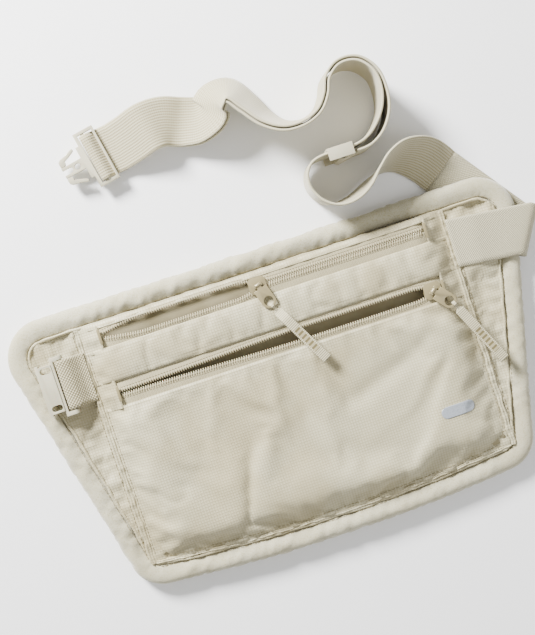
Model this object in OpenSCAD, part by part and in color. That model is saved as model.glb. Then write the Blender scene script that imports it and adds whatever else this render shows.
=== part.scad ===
/* [Belt body] */
// Width across the widest part, just under the top corners
belt_w = 270; // [262:1:280]
// Height from the top edge to the lowest point of the bottom edge
belt_h = 154; // [150:1:160]
// Radius of the two top corners
top_corner_r = 20; // [16:1:24]
// Radius of the two bottom corners
bottom_corner_r = 18; // [16:1:20]
// Distance between the centres of the bottom corners
bottom_corner_span = 182; // [176:1:188]
// How far the bottom edge bellies out below its corners
bottom_belly = 5; // [4:0.5:7]

/* [Layers] */
// Thickness of the padded back panel
back_t = 2.4; // [2.2:0.1:2.8]
// Thickness of the woven lining on the back panel
lining_t = 0.3; // [0.2:0.1:0.4]
// Clear height of each pocket
pocket_gap = 4.2; // [4.2:0.1:5]
// Thickness of the front cloth, with its seam allowance
cloth_t = 0.6; // [0.5:0.1:0.8]
// Thickness of the sheet between the two pockets
divider_t = 0.5; // [0.4:0.1:0.6]
// Width of the rolled, padded border
border_w = 10.5; // [9:0.5:12]
// Height of the rolled, padded border
border_h = 8.4; // [8:0.1:9]

/* [Seams] */
// Distance from the middle to each side seam
seam_x = 97; // [95:1:99]
// Width of a double-stitched seam strip
seam_w = 5; // [4:0.5:6]
// Height of a seam strip above the table
seam_h = 6.8; // [6.4:0.1:7.2]

/* [Zips] */
// Centre line of the upper zip
upper_zip_y = 59; // [58:0.5:60]
// Centre line of the lower zip
lower_zip_y = 29; // [27:0.5:31]
// Mouth of the upper zip where it is undone
upper_mouth = 6.4; // [5.8:0.1:7]
// Gap that the upper slider's post runs in where the zip is done up
upper_closed_gap = 3; // [2.8:0.1:3.4]
// Mouth of the lower zip, undone all along
lower_mouth = 5; // [4.8:0.1:5.4]
// Place of the upper slider along its zip
upper_slider_x = -3; // [-10:1:10]
// Place of the lower slider along its zip
lower_slider_x = 80; // [60:1:80]
// Length of each ribbon on a pull
ribbon_l = 38; // [30:1:40]

/* [Strap] */
// Width of the elastic webbing
strap_w = 25; // [24:0.5:26]
// Thickness of the elastic webbing
strap_t = 1.3; // [1.1:0.1:1.4]

/* [Buckle] */
// Length of the bar that each buckle half hangs on
bar_l = 26.4; // [26:0.1:27]
// Thickness of the male buckle's frame
frame_t = 2.4; // [2.2:0.1:2.6]

/* [Hidden] */

cloth_colour = "#cdc7b2";
padding_colour = "#c9c3ae";
web_colour = "#c6bfa9";
plastic_colour = "#d3cdb9";
metal_colour = "#b9b39e";
grey_colour = "#b4b4b0";
$fn = 48;
// Clearance between pieces that fit round or beside each other
fit_gap = 0.1;
// How far a cut runs past the face that it opens
overrun = 1;
// Height of the blocks that trim the cloth, above every layer of it
trim_h = 20;

top_y = belt_h / 2;
top_corner = [belt_w / 2 - top_corner_r, top_y - top_corner_r];
bottom_corner = [bottom_corner_span / 2, -top_y + bottom_corner_r + bottom_belly];
corner_vector = top_corner - bottom_corner;
// The side edge's outward normal leans this far below level
side_lean = 90 + asin((top_corner_r - bottom_corner_r) / norm(corner_vector))
    - atan2(corner_vector.y, corner_vector.x);
// The bottom edge is one wide arc that meets the bottom corners smoothly
belly_depth = top_y - bottom_corner_r;
belly_centre = (bottom_corner.x ^ 2 + bottom_corner.y ^ 2 - belly_depth ^ 2)
    / (2 * (belly_depth + bottom_corner.y));
belly_r = belly_centre + top_y;
belly_angle = asin(bottom_corner.x / (belly_r - bottom_corner_r));

lining_top = back_t + lining_t;
divider_z = lining_top + pocket_gap;
front_under = divider_z + divider_t + pocket_gap + 0.3;
front_top = front_under + cloth_t;
coil_t = 1.4;
coil_w = 1.3;
coil_z = front_under + cloth_t / 2 - coil_t / 2;
zip_end_x = 86.5;
tape_half = 7;
upper_rear_half = 5;
cloth_seam_gap = 2;
// The wings' single layer of cloth
wing_under = seam_h - 1.5;
wing_top = seam_h - 0.6;
// How far the pocket's sides lean in from its seams to the top of the puffed cloth
puff_lean = 8;

strap_z = 0.8;
channel_h = 1.6;
wing_strap_z = border_h + 0.9;
fold_axis = 60;
fold_centre = [135, 44];
wing_strap_angle = -6.5;
under_strap_angle = 2 * fold_axis - wing_strap_angle;
fold_half_w = strap_w / 2 / sin(fold_axis - wing_strap_angle);

// Free strap from the belt's top edge to the male buckle, as [x, y, z, twist, gap to the return layer].
// A twist of 0 lies flat, 90 stands on edge and 180 is flat, the other way up; a gap of 0 is one layer.
ROUTE = [
    [104.5, 85, 0.8, 0, 0], [99.5, 91.5, 2.8, 14, 0], [93.5, 96, 6.4, 34, 0], [86.5, 98.4, 9.5, 54, 0],
    [79, 97.8, 11.6, 72, 0], [72, 94.6, 12.7, 86, 0], [65, 90, 12.8, 96, 0], [57, 86, 12.8, 98, 0],
    [48.5, 85, 12.8, 95, 0], [41, 88.5, 12.8, 91, 0], [36.8, 95.5, 12.8, 90, 0], [37, 102.6, 13.4, 90, 0],
    [40.4, 107.6, 14.2, 90, 0], [46, 109.4, 14.4, 90, 0], [54, 109.4, 14.4, 90, 0], [62, 109.4, 14.4, 90, 3],
    [69.4, 111.2, 13.8, 90, 4.2], [76, 115.8, 12.9, 90, 4.6], [81.6, 123, 12.8, 90, 3.8],
    [84, 132, 12.8, 88, 2.4], [83, 141, 12.8, 88, 2], [77, 148, 12.8, 88, 2], [68.5, 149.4, 12.8, 90, 2],
    [61.5, 145, 12.8, 92, 2], [58, 137.5, 12.8, 93, 2], [52.5, 131, 12.8, 94, 2], [44, 128, 12.7, 97, 2],
    [34, 129.6, 12.4, 104, 2], [26, 136.2, 11.8, 112, 2], [20, 145.6, 11.4, 118, 2],
    [13.5, 154.4, 11.4, 122, 2], [6, 153.4, 10.2, 132, 2], [1.4, 147.8, 7.4, 146, 2.2],
    [-5.4, 146.6, 3.6, 164, 2.2], [-14, 149, 2.4, 176, 2.2], [-22.6, 151.6, 5.4, 180, 2.2],
    [-31.4, 151.2, 7.8, 180, 2.2], [-40, 149, 4.6, 180, 2.2], [-48, 147.4, 1.2, 180, 1.8]];
return_first = 15;
steps = 2;

// Male buckle: its middle bar's centre, and the way its tongue points
male_pin = [-60.5, 145.4, 4.6];
male_yaw = 191;
mid_bar_r = 0.9;
wrap_r = mid_bar_r + fit_gap;
wrap_outer = wrap_r + strap_t;

glide_x = 55.5;
glide_pin_r = 0.8;
glide_wrap_r = glide_pin_r + fit_gap;
glide_pin_y = -(strap_t / 2 + 0.2 + glide_wrap_r + strap_t);

loop_pin = [-109, 41.5, 11.5];
loop_pin_r = 1.3;
loop_web_t = 1.1;

slider_pin_z = front_top + 2.4;
// How each pull lies: its tab's direction, its ribbon's direction, and the ribbon's rise over the cloth
upper_pull = [-72, -62, 2.4];
lower_pull = [-50, -65, 0];

function arc(c, r, a0, a1, n) = [for (i = [0:n]) let (a = a0 + (a1 - a0) * i / n) c + r * [cos(a), sin(a)]];
function belly(inset, half_angle, n) =
    arc([0, belly_centre], belly_r - inset, -90 - half_angle, -90 + half_angle, n);
function outline(inset) = concat(
    [for (i = [1:11]) belly(inset, belly_angle, 12)[i]],
    arc(bottom_corner, bottom_corner_r - inset, -90 + belly_angle, -side_lean, 7),
    arc(top_corner, top_corner_r - inset, -side_lean, 90, 9),
    arc([-top_corner.x, top_corner.y], top_corner_r - inset, 90, 180 + side_lean, 9),
    arc([-bottom_corner.x, bottom_corner.y], bottom_corner_r - inset,
        180 + side_lean, 270 - belly_angle, 7));

// The pockets' plan, drawn in from the seams; its top side closes up more slowly
pocket_r = belly_r - border_w - cloth_seam_gap;
function pocket_plan(inset) = let (
        x = seam_x - inset,
        top = top_y - border_w - inset / 5,
        half_angle = asin(x / (pocket_r - inset)))
    concat([[x, top], [-x, top]],
        arc([0, belly_centre], pocket_r - inset, -90 - half_angle, -90 + half_angle, 12));

// Side faces between rings of n points, then two end caps unless the rings close on themselves
function skin(n, rings, closed) = concat(
    [for (k = [0:rings - (closed ? 1 : 2)], i = [0:n - 1])
        let (a = k * n + i, b = k * n + (i + 1) % n, c = ((k + 1) % rings) * n + (i + 1) % n,
            d = ((k + 1) % rings) * n + i)
        each [[a, b, c], [a, c, d]]],
    closed ? [] : [[for (i = [n - 1:-1:0]) i], [for (i = [0:n - 1]) (rings - 1) * n + i]]);

module loft(lower, z0, upper, z1) {
    n = len(lower);
    points = concat([for (p = lower) [p.x, p.y, z0]], [for (p = upper) [p.x, p.y, z1]]);
    sides = [for (i = [0:n - 1]) let (j = (i + 1) % n) each [[i, n + j, j], [i, n + i, n + j]]];
    polyhedron(points, concat(sides, [[for (i = [0:n - 1]) i], [for (i = [n - 1:-1:0]) n + i]]));
}

module plan(inset, z0, z1) {
    translate([0, 0, z0]) linear_extrude(z1 - z0) polygon(outline(inset));
}

module slab(x0, x1, y0, y1, z0, z1) {
    translate([x0, y0, z0]) cube([x1 - x0, y1 - y0, z1 - z0]);
}

// The slot under the belt that the strap lies in on its way from the fold to the top edge
channel_from = -26;
channel_l = 92;
channel_side = 1;
module strap_channel() {
    translate([fold_centre.x, fold_centre.y, -overrun]) rotate(under_strap_angle)
        translate([channel_from, -strap_w / 2 - channel_side, 0])
            cube([channel_l, strap_w + 2 * channel_side, channel_h + overrun]);
}

module back_panel() {
    color(padding_colour) difference() {
        plan(border_w, 0, back_t);
        strap_channel();
    }
}

module back_lining() {
    color(cloth_colour) plan(border_w, back_t, lining_top);
}

// The border's section, as [distance in from the outer edge, height]
ROLL = [[border_w, 0], [border_w, 6.2], [9.2, 7.6], [6.6, border_h], [3, border_h],
    [0.9, 7.2], [0, 5.4], [0, 3], [0.8, 1], [2.6, 0]];

module edge_roll() {
    rings = [for (s = ROLL) [for (p = outline(s[0])) [p.x, p.y, s[1]]]];
    color(padding_colour) difference() {
        polyhedron([for (ring = rings) each ring], skin(len(outline(0)), len(ROLL), true));
        strap_channel();
    }
}

module wing(side) {
    color(cloth_colour) intersection() {
        plan(border_w, wing_under, wing_top);
        mirror([side < 0 ? 1 : 0, 0, 0]) slab(seam_x + seam_w / 2, belt_w, -belt_h, belt_h, 0, trim_h);
    }
}

module side_seam(side) {
    color(cloth_colour) intersection() {
        plan(border_w, lining_top, seam_h);
        mirror([side < 0 ? 1 : 0, 0, 0])
            slab(seam_x - seam_w / 2, seam_x + seam_w / 2, -belt_h, belt_h, 0, trim_h);
    }
}

module bottom_seam() {
    x = seam_x - seam_w / 2;
    inner = pocket_r - seam_w / 2;
    color(cloth_colour) intersection() {
        plan(border_w, lining_top, seam_h);
        linear_extrude(belt_h)
            polygon(concat(
                arc([0, belly_centre], belly_r, -90 - asin(x / belly_r), -90 + asin(x / belly_r), 12),
                arc([0, belly_centre], inner, -90 + asin(x / inner), -90 - asin(x / inner), 12)));
    }
}

// One band of the puffed front cloth, from y0 to y1
module front_band(y0, y1, x0 = -belt_w, x1 = belt_w) {
    color(cloth_colour) intersection() {
        difference() {
            loft(pocket_plan(0), seam_h, pocket_plan(puff_lean), front_top);
            loft(pocket_plan(cloth_t * 1.4), seam_h - 0.01, pocket_plan(puff_lean + cloth_t), front_under);
        }
        slab(x0, x1, y0, y1, 0, trim_h);
    }
}

module top_strip() {
    front_band(upper_zip_y + upper_rear_half, top_y);
}

module mid_panel() {
    front_band(lower_zip_y + tape_half, upper_zip_y - tape_half);
}

module front_panel() {
    front_band(-top_y, lower_zip_y - tape_half);
}

module pocket_divider() {
    x = seam_x - seam_w / 2 - fit_gap;
    riser_y = lower_zip_y + tape_half - divider_t;
    color(cloth_colour) union() {
        intersection() {
            slab(-x, x, -belt_h, riser_y + divider_t, divider_z, divider_z + divider_t);
            translate([0, 0, divider_z - 1]) linear_extrude(3) polygon(pocket_plan(2.6));
        }
        slab(-zip_end_x - 1, zip_end_x + 1, riser_y, riser_y + divider_t, divider_z, front_under);
    }
}

// Half gap of a zip at x: mouth while undone, closing up just before the slider
function half_gap(mouth, done, slider_x) = [[-zip_end_x, mouth / 2], [slider_x - 16, mouth / 2],
    [slider_x + 5, done / 2], [zip_end_x, done / 2]];

// A strip along one side of a zip, from the gap's edge plus a0 out to a1 or out to the line y = reach
module zip_strip(gaps, zip_y, side, a0, a1, reach, z0, z1) {
    inner = [for (g = gaps) [g.x, zip_y + side * (g.y + a0)]];
    outer = [for (i = [len(gaps) - 1:-1:0])
        [gaps[i].x, zip_y + side * (is_undef(reach) ? gaps[i].y + a1 : reach)]];
    translate([0, 0, z0]) linear_extrude(z1 - z0) polygon(concat(inner, outer));
}

upper_gaps = half_gap(upper_mouth, upper_closed_gap, upper_slider_x);
lower_gaps = half_gap(lower_mouth, lower_mouth, 0);

module tape(gaps, zip_y, side, reach) {
    color(web_colour) zip_strip(gaps, zip_y, side, coil_w, 0, reach, front_under, front_top);
}

module coil(gaps, zip_y, side) {
    color(plastic_colour) zip_strip(gaps, zip_y, side, 0, coil_w, undef, coil_z, coil_z + coil_t);
}

module zip_end(zip_y, front_half, rear_half, side) {
    x0 = side < 0 ? -belt_w : zip_end_x;
    x1 = side < 0 ? -zip_end_x : belt_w;
    front_band(zip_y - front_half, zip_y + rear_half, x0, x1);
}

stop_w = 1.4;
stop_half = 3.9;
stop_t = 0.8;
module zip_stops(zip_y) {
    color(metal_colour) for (side = [-1, 1])
        translate([side * (zip_end_x - fit_gap - stop_w / 2) - stop_w / 2, zip_y - stop_half,
                coil_z + coil_t + fit_gap / 2])
            cube([stop_w, 2 * stop_half, stop_t]);
}

plate_l = 9;
plate_w = 8.4;
plate_t = 0.7;
plate_corner_r = 5.2;
plate_gap = 0.2;
post_r = 0.9;
lug_space = 1.9;
lug_l = 1.8;
lug_t = 0.8;
slider_pin_r = 0.5;
module slider(x, zip_y, tab_angle) {
    upper_z = coil_z + coil_t + plate_gap;
    lower_z = coil_z - plate_gap - plate_t;
    color(metal_colour) translate([x, zip_y, 0]) {
        for (z = [lower_z, upper_z]) translate([0, 0, z]) linear_extrude(plate_t) intersection() {
            circle(plate_corner_r);
            square([plate_l, plate_w], center = true);
        }
        translate([0, 0, lower_z]) cylinder(r = post_r, h = upper_z - lower_z + plate_t);
        rotate(tab_angle) {
            for (side = [-1, 1]) translate([-lug_l / 2, side * lug_space - lug_t / 2, upper_z])
                cube([lug_l, lug_t, slider_pin_z - upper_z + slider_pin_r]);
            translate([0, 0, slider_pin_z]) rotate([90, 0, 0])
                cylinder(r = slider_pin_r, h = 2 * lug_space + 0.2, center = true);
        }
    }
}

// Flat metal tab with an eye for the slider's pin and a round hole for the ribbon
tab_t = 0.9;
tab_hole_x = 9.6;
tab_hole_r = 2.5;
tab_end_r = 3.7;
eye_r = 0.95;
eye_w = 2.6;
neck_x = 0.4;
module pull_tab(x, zip_y, tab_angle) {
    color(metal_colour) translate([x, zip_y, slider_pin_z]) rotate(tab_angle) {
        difference() {
            union() {
                translate([2, -tab_end_r, -tab_t / 2]) cube([tab_hole_x - 2, 2 * tab_end_r, tab_t]);
                translate([tab_hole_x, 0, -tab_t / 2]) cylinder(r = tab_end_r, h = tab_t);
                rotate([90, 0, 0]) cylinder(r = eye_r, h = eye_w, center = true);
                translate([neck_x, -eye_w / 2, -tab_t / 2]) cube([2, eye_w, tab_t]);
            }
            rotate([90, 0, 0]) cylinder(r = slider_pin_r + 0.06, h = 12, center = true);
            translate([tab_hole_x, 0, -tab_t]) cylinder(r = tab_hole_r, h = 2 * tab_t);
        }
    }
}

// Ribbon looped round the rim of the tab's hole; rise lifts it to clear what lies below
ribbon_w = 5;
ribbon_t = 1;
ribbon_neck_w = 1.6;
ribbon_loop_r = 1.15;
module pull_ribbon(x, zip_y, pull) {
    rise = pull[2];
    rim = tab_hole_x + (tab_hole_r + tab_end_r) / 2;
    r1 = ribbon_loop_r + ribbon_t / 2;
    h = ribbon_t / 2;
    color(web_colour) translate([x, zip_y, slider_pin_z]) rotate(pull[0]) translate([rim, 0, 0])
        rotate(pull[1] - pull[0]) rotate([90, 0, 0]) union() {
            difference() {
                cylinder(r = r1, h = ribbon_neck_w, center = true);
                cylinder(r = ribbon_loop_r, h = ribbon_w, center = true);
            }
            linear_extrude(ribbon_neck_w, center = true)
                polygon([[ribbon_loop_r + 0.1, -h], [3, -h], [3, h], [ribbon_loop_r + 0.1, h]]);
            linear_extrude(ribbon_w, center = true)
                polygon([[2.4, -h], [4, -h], [9, rise - h], [ribbon_l, rise - h], [ribbon_l, rise + h],
                    [8.8, rise + h], [3.8, h], [2.4, h]]);
        }
}

// Plain rounded bar printed on the front panel
mark_place = [74, -32];
mark_l = 12;
mark_r = 3;
mark_t = 0.1;
module reflective_mark() {
    color(grey_colour) translate([mark_place.x, mark_place.y, front_top]) linear_extrude(mark_t) union() {
        square([mark_l, 2 * mark_r], center = true);
        for (side = [-1, 1]) translate([side * mark_l / 2, 0]) circle(mark_r);
    }
}

module buckle_webbing_loop() {
    r0 = loop_pin_r + 0.2;
    r1 = r0 + loop_web_t;
    run = 9.4;
    drop = loop_pin.z - seam_h;
    color(web_colour) translate([loop_pin.x, loop_pin.y, loop_pin.z]) rotate([90, 0, 0])
        linear_extrude(strap_w, center = true) union() {
            difference() {
                circle(r1);
                circle(r0);
                translate([0, -5]) square(10);
            }
            polygon([[-0.01, r1], [-0.01, r0], [run, -drop + 1.2], [run + 2.2, -drop + 1.2],
                [run + 2.2, -drop + 2.2]]);
            polygon([[-0.01, -r0], [-0.01, -r1], [4, -r1], [run, -drop + 0.1], [run + 2.2, -drop + 0.1],
                [run + 2.2, -drop + 1.2], [run, -drop + 1.2], [4, -r0]]);
        }
}

// A slot with round ends, along X, cut straight through
module slot(slot_l, slot_w, depth) {
    for (side = [-1, 1]) translate([side * (slot_l - slot_w) / 2, 0, 0])
        cylinder(d = slot_w, h = depth, center = true);
    cube([slot_l - slot_w, slot_w, depth], center = true);
}

// Socket half of the side-release buckle: a flat box on a bar, open at its mouth and with two finger slots
socket_l = 8;
socket_t = 5.4;
socket_back = -4.4;
mouth_w = 17.6;
mouth_t = 3;
lip_l = 1.6;
lug_w = 2;
lug_r = 2.2;
module female_buckle() {
    half = bar_l / 2;
    lug_y = half + lug_w / 2;
    mouth_x = socket_back - socket_l;
    color(plastic_colour) translate([loop_pin.x, loop_pin.y, loop_pin.z]) difference() {
        union() {
            rotate([90, 0, 0]) cylinder(r = loop_pin_r, h = bar_l + 2 * lug_w, center = true);
            for (side = [-1, 1]) {
                translate([0, side * lug_y, 0]) rotate([90, 0, 0])
                    cylinder(r = lug_r, h = lug_w, center = true);
                translate([socket_back, side * lug_y - lug_w / 2, -lug_r])
                    cube([-socket_back, lug_w, 2 * lug_r]);
            }
            translate([mouth_x, -half + 1, -socket_t / 2]) cube([socket_l, bar_l - 2, socket_t]);
            translate([mouth_x, -half, -socket_t / 2]) cube([lip_l, bar_l, socket_t]);
            translate([socket_back, -half - lug_w, -lug_r]) cube([1.4, bar_l + 2 * lug_w, 2 * lug_r]);
        }
        translate([mouth_x - 1, -mouth_w / 2, -mouth_t / 2]) cube([socket_l, mouth_w, mouth_t]);
        for (side = [-1, 1]) translate([mouth_x + 4.7, side * 9.7, 0]) slot(5.6, 3, 2 * socket_t);
    }
}

function unit(v) = v / norm(v);
// Smooth value between control values b and c
function blend4(a, b, c, d, t) = 0.5 * (2 * b + (c - a) * t + (2 * a - 5 * b + 4 * c - d) * t ^ 2
    + (3 * b - a - 3 * c + d) * t ^ 3);
function at(list, i) = list[max(0, min(len(list) - 1, i))];
function smooth(list) = concat([for (i = [0:len(list) - 2], s = [0:steps - 1])
    blend4(at(list, i - 1), list[i], list[i + 1], at(list, i + 2), s / steps)], [list[len(list) - 1]]);
function tangent(list, i) = let (a = at(list, i - 1), b = at(list, i + 1))
    unit([b.x - a.x, b.y - a.y, b.z - a.z]);
// Direction across the webbing, towards the edge that stands up
function across(t, twist) = let (right = unit(cross(t, [0, 0, 1])), up = cross(right, t))
    cos(twist) * right + sin(twist) * up;
function webbing_ring(list, i, side) = let (
        p = list[i], t = tangent(list, i), w = across(t, p[3]), n = cross(w, t),
        c = [p.x, p.y, p.z] + side * p[4] * n)
    [c - w * strap_w / 2 - n * strap_t / 2, c + w * strap_w / 2 - n * strap_t / 2,
        c + w * strap_w / 2 + n * strap_t / 2, c - w * strap_w / 2 + n * strap_t / 2];

module webbing(rings) {
    color(web_colour) polyhedron([for (ring = rings) each ring], skin(4, len(rings), false));
}

free_line = smooth(ROUTE);
return_line = smooth([for (i = [return_first:len(ROUTE) - 1]) ROUTE[i]]);

// A place in the male buckle's own frame: u along the tongue, v along the bar, z up
function male_place(u, v, z) = [male_pin.x + u * cos(male_yaw) - v * sin(male_yaw),
    male_pin.y + u * sin(male_yaw) + v * cos(male_yaw), z];
function bar_ring(u, z, slope) = let (du = sin(slope) * strap_t / 2, dz = cos(slope) * strap_t / 2)
    [male_place(u - du, -strap_w / 2, z + dz), male_place(u - du, strap_w / 2, z + dz),
        male_place(u + du, strap_w / 2, z - dz), male_place(u + du, -strap_w / 2, z - dz)];

module strap_wing_run() {
    start_x = seam_x + 0.2;
    path = [[start_x, 47.6, seam_h + 0.75, 0], [102, 47.2, seam_h + 0.9, 0.15],
        [108, 46.6, wing_strap_z, 0.4],
        [fold_centre.x, fold_centre.y, wing_strap_z, 1]];
    rings = [for (p = path) let (
            lean = 90 + (fold_axis - 90) * p[3],
            half = strap_w / 2 / sin(lean - wing_strap_angle),
            w = half * [cos(lean), sin(lean), 0], n = [0, 0, strap_t / 2], c = [p[0], p[1], p[2]])
        [c - w - n, c - w + n, c + w + n, c + w - n]];
    webbing(rings);
}

// The skew fold at the belt's right edge, half a turn round a level axis
module strap_fold() {
    fold_r = (wing_strap_z - strap_z) / 2;
    out = [sin(fold_axis), -cos(fold_axis), 0];
    w = fold_half_w * [cos(fold_axis), sin(fold_axis), 0];
    rings = [for (a = [0:15:180]) let (
            n = sin(a) * out + [0, 0, cos(a)],
            c = [fold_centre.x, fold_centre.y, strap_z + fold_r] + fold_r * n)
        [c - w - n * strap_t / 2, c - w + n * strap_t / 2,
            c + w + n * strap_t / 2, c + w - n * strap_t / 2]];
    webbing(rings);
}

module strap_under_run() {
    w = fold_half_w * [cos(fold_axis), sin(fold_axis), 0];
    n = [0, 0, strap_t / 2];
    c = [fold_centre.x, fold_centre.y, strap_z];
    webbing([[c - w - n, c + w - n, c + w + n, c - w + n], webbing_ring(free_line, 0, 0)]);
}

module strap_free_run() {
    last = len(free_line) - 1;
    webbing(concat([for (i = [0:last]) webbing_ring(free_line, i, 0)],
        [bar_ring(-5.6, 1, 6), bar_ring(-3.2, 1.5, 20),
            bar_ring(-0.01, male_pin.z - wrap_r - strap_t / 2, 0)]));
}

module strap_return_run() {
    last = len(return_line) - 1;
    webbing(concat([for (i = [0:last]) webbing_ring(return_line, i, -1)],
        [bar_ring(-6.6, 2.5, 4), bar_ring(-5, 2.7, 20), bar_ring(-3.7, 3.9, 50), bar_ring(-2.6, 5.3, 45),
            bar_ring(-1.3, 6.2, 20), bar_ring(-0.01, male_pin.z + wrap_r + strap_t / 2, 0)]));
}

// The webbing round the male buckle's middle bar
module strap_wrap() {
    color(web_colour) translate(male_pin) rotate(male_yaw) rotate([90, 0, 0]) difference() {
        cylinder(r = wrap_outer, h = strap_w, center = true);
        cylinder(r = wrap_r, h = strap_w + 2, center = true);
        translate([-10, -10, -strap_w]) cube([10, 20, 2 * strap_w]);
    }
}

glide_strap = ROUTE[14];
// The strap's sewn end, folded round the tri-glide's middle bar
module strap_end_loop() {
    color(web_colour) translate([glide_x, glide_strap.y + glide_pin_y, glide_strap.z]) union() {
        difference() {
            cylinder(r = glide_wrap_r + strap_t, h = strap_w, center = true);
            cylinder(r = glide_wrap_r, h = strap_w + 2, center = true);
            translate([0.6, -5, -strap_w]) cube([10, 10, 2 * strap_w]);
        }
        linear_extrude(strap_w, center = true) {
            polygon([[0.5, 0.86], [0.5, 2.12], [4.6, strap_t], [6, strap_t], [6, 0], [4, 0]]);
            polygon([[0.5, -0.86], [4, 0], [6, 0], [6, -strap_t], [4.6, -strap_t], [0.5, -2.12]]);
        }
    }
}

module tri_glide() {
    half_l = 6.4;
    rail_t = 1.5;
    inner_h = strap_w / 2 + 0.35;
    front_y = 2.2;
    back_y = glide_pin_y - glide_pin_r;
    color(plastic_colour) translate([glide_x, glide_strap.y, glide_strap.z]) union() {
        for (side = [-1, 1]) translate([-half_l, back_y, side > 0 ? inner_h : -inner_h - rail_t])
            cube([2 * half_l, front_y - back_y, rail_t]);
        for (side = [-1, 1]) translate([side * (half_l - 0.8) - 0.8, strap_t / 2 + 0.2, -inner_h - 0.5])
            cube([1.6, front_y - strap_t / 2 - 0.2, 2 * inner_h + 1]);
        translate([0, glide_pin_y, 0]) cylinder(r = glide_pin_r, h = 2 * inner_h + 1, center = true);
    }
}

module in_male_frame() {
    translate(male_pin) rotate(male_yaw) children();
}

// Ladder frame of the male half, with a plate, a forked stem and a round hole in front
front_bar = [2.7, 4.4];
rear_bar = [-6.4, -5.2];
frame_rim = 1.5;
plate_half = 8.4;
stem_half = 2.8;
notch_half = 1.4;
hole_u = 9.6;
hole_r = 1.6;
fork_u = 13.6;
tongue_u = 17.4;
module male_buckle_frame() {
    half = bar_l / 2;
    color(plastic_colour) in_male_frame() union() {
        for (side = [-1, 1])
            translate([rear_bar[0], side * (half + frame_rim / 2) - frame_rim / 2, -frame_t / 2])
            cube([front_bar[1] - rear_bar[0], frame_rim, frame_t]);
        for (bar = [front_bar, rear_bar]) translate([bar[0], -half - 0.5, -frame_t / 2])
            cube([bar[1] - bar[0], bar_l + 1, frame_t]);
        rotate([90, 0, 0]) cylinder(r = mid_bar_r, h = bar_l + 1, center = true);
        difference() {
            union() {
                translate([front_bar[1] - 0.1, -plate_half, -frame_t / 2])
                    cube([1.9, 2 * plate_half, frame_t]);
                translate([front_bar[1], -stem_half, -frame_t / 2])
                    cube([tongue_u - front_bar[1], 2 * stem_half, frame_t]);
            }
            translate([hole_u, 0, -frame_t]) cylinder(r = hole_r, h = 2 * frame_t);
            translate([fork_u, 0, -frame_t]) cylinder(r = notch_half, h = 2 * frame_t);
            translate([fork_u, -notch_half, -frame_t]) cube([tongue_u, 2 * notch_half, 2 * frame_t]);
        }
    }
}

// A sprung prong: a round root beside the tip of the fork, and a free end that points back at the frame
prong_root = [15.8, 4.5];
prong_root_r = 1.6;
module male_prong(side) {
    color(plastic_colour) in_male_frame() mirror([0, side < 0 ? 1 : 0, 0])
        translate([0, 0, -frame_t / 2 + fit_gap]) union() {
            translate(prong_root) cylinder(r = prong_root_r, h = frame_t - 2 * fit_gap);
            linear_extrude(frame_t - 2 * fit_gap)
                polygon([prong_root, [15.8, 2.9], [17.3, 3.1], [17.3, 5.9], [16, 7], [12.4, 7.7], [8.6, 9.2],
                    [7.9, 8.8], [8, 7.8], [11.6, 6.1], [14.4, 5.2]]);
        }
}

back_panel();
back_lining();
edge_roll();
wing(-1);  // left_wing
wing(1);  // right_wing
side_seam(-1);  // left_seam
side_seam(1);  // right_seam
bottom_seam();
top_strip();
mid_panel();
front_panel();
pocket_divider();
tape(upper_gaps, upper_zip_y, 1, upper_rear_half);  // upper_zip_tape_rear
tape(upper_gaps, upper_zip_y, -1, tape_half);  // upper_zip_tape_front
coil(upper_gaps, upper_zip_y, 1);  // upper_zip_coil_rear
coil(upper_gaps, upper_zip_y, -1);  // upper_zip_coil_front
zip_end(upper_zip_y, tape_half, upper_rear_half, -1);  // upper_zip_end_left
zip_end(upper_zip_y, tape_half, upper_rear_half, 1);  // upper_zip_end_right
zip_stops(upper_zip_y);  // upper_zip_stops
tape(lower_gaps, lower_zip_y, 1, tape_half);  // lower_zip_tape_rear
tape(lower_gaps, lower_zip_y, -1, tape_half);  // lower_zip_tape_front
coil(lower_gaps, lower_zip_y, 1);  // lower_zip_coil_rear
coil(lower_gaps, lower_zip_y, -1);  // lower_zip_coil_front
zip_end(lower_zip_y, tape_half, tape_half, -1);  // lower_zip_end_left
zip_end(lower_zip_y, tape_half, tape_half, 1);  // lower_zip_end_right
zip_stops(lower_zip_y);  // lower_zip_stops
slider(upper_slider_x, upper_zip_y, upper_pull[0]);  // upper_slider
pull_tab(upper_slider_x, upper_zip_y, upper_pull[0]);  // upper_pull_tab
pull_ribbon(upper_slider_x, upper_zip_y, upper_pull);  // upper_pull_ribbon
slider(lower_slider_x, lower_zip_y, lower_pull[0]);  // lower_slider
pull_tab(lower_slider_x, lower_zip_y, lower_pull[0]);  // lower_pull_tab
pull_ribbon(lower_slider_x, lower_zip_y, lower_pull);  // lower_pull_ribbon
reflective_mark();
buckle_webbing_loop();
female_buckle();
strap_wing_run();
strap_fold();
strap_under_run();
strap_free_run();
strap_return_run();
strap_wrap();
strap_end_loop();
tri_glide();
male_buckle_frame();
male_prong(-1);  // male_prong_upper
male_prong(1);  // male_prong_lower
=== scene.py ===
import math

import bmesh
import bpy
import numpy as np
from mathutils import Matrix, Vector, noise
from mathutils.bvhtree import BVHTree


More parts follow.
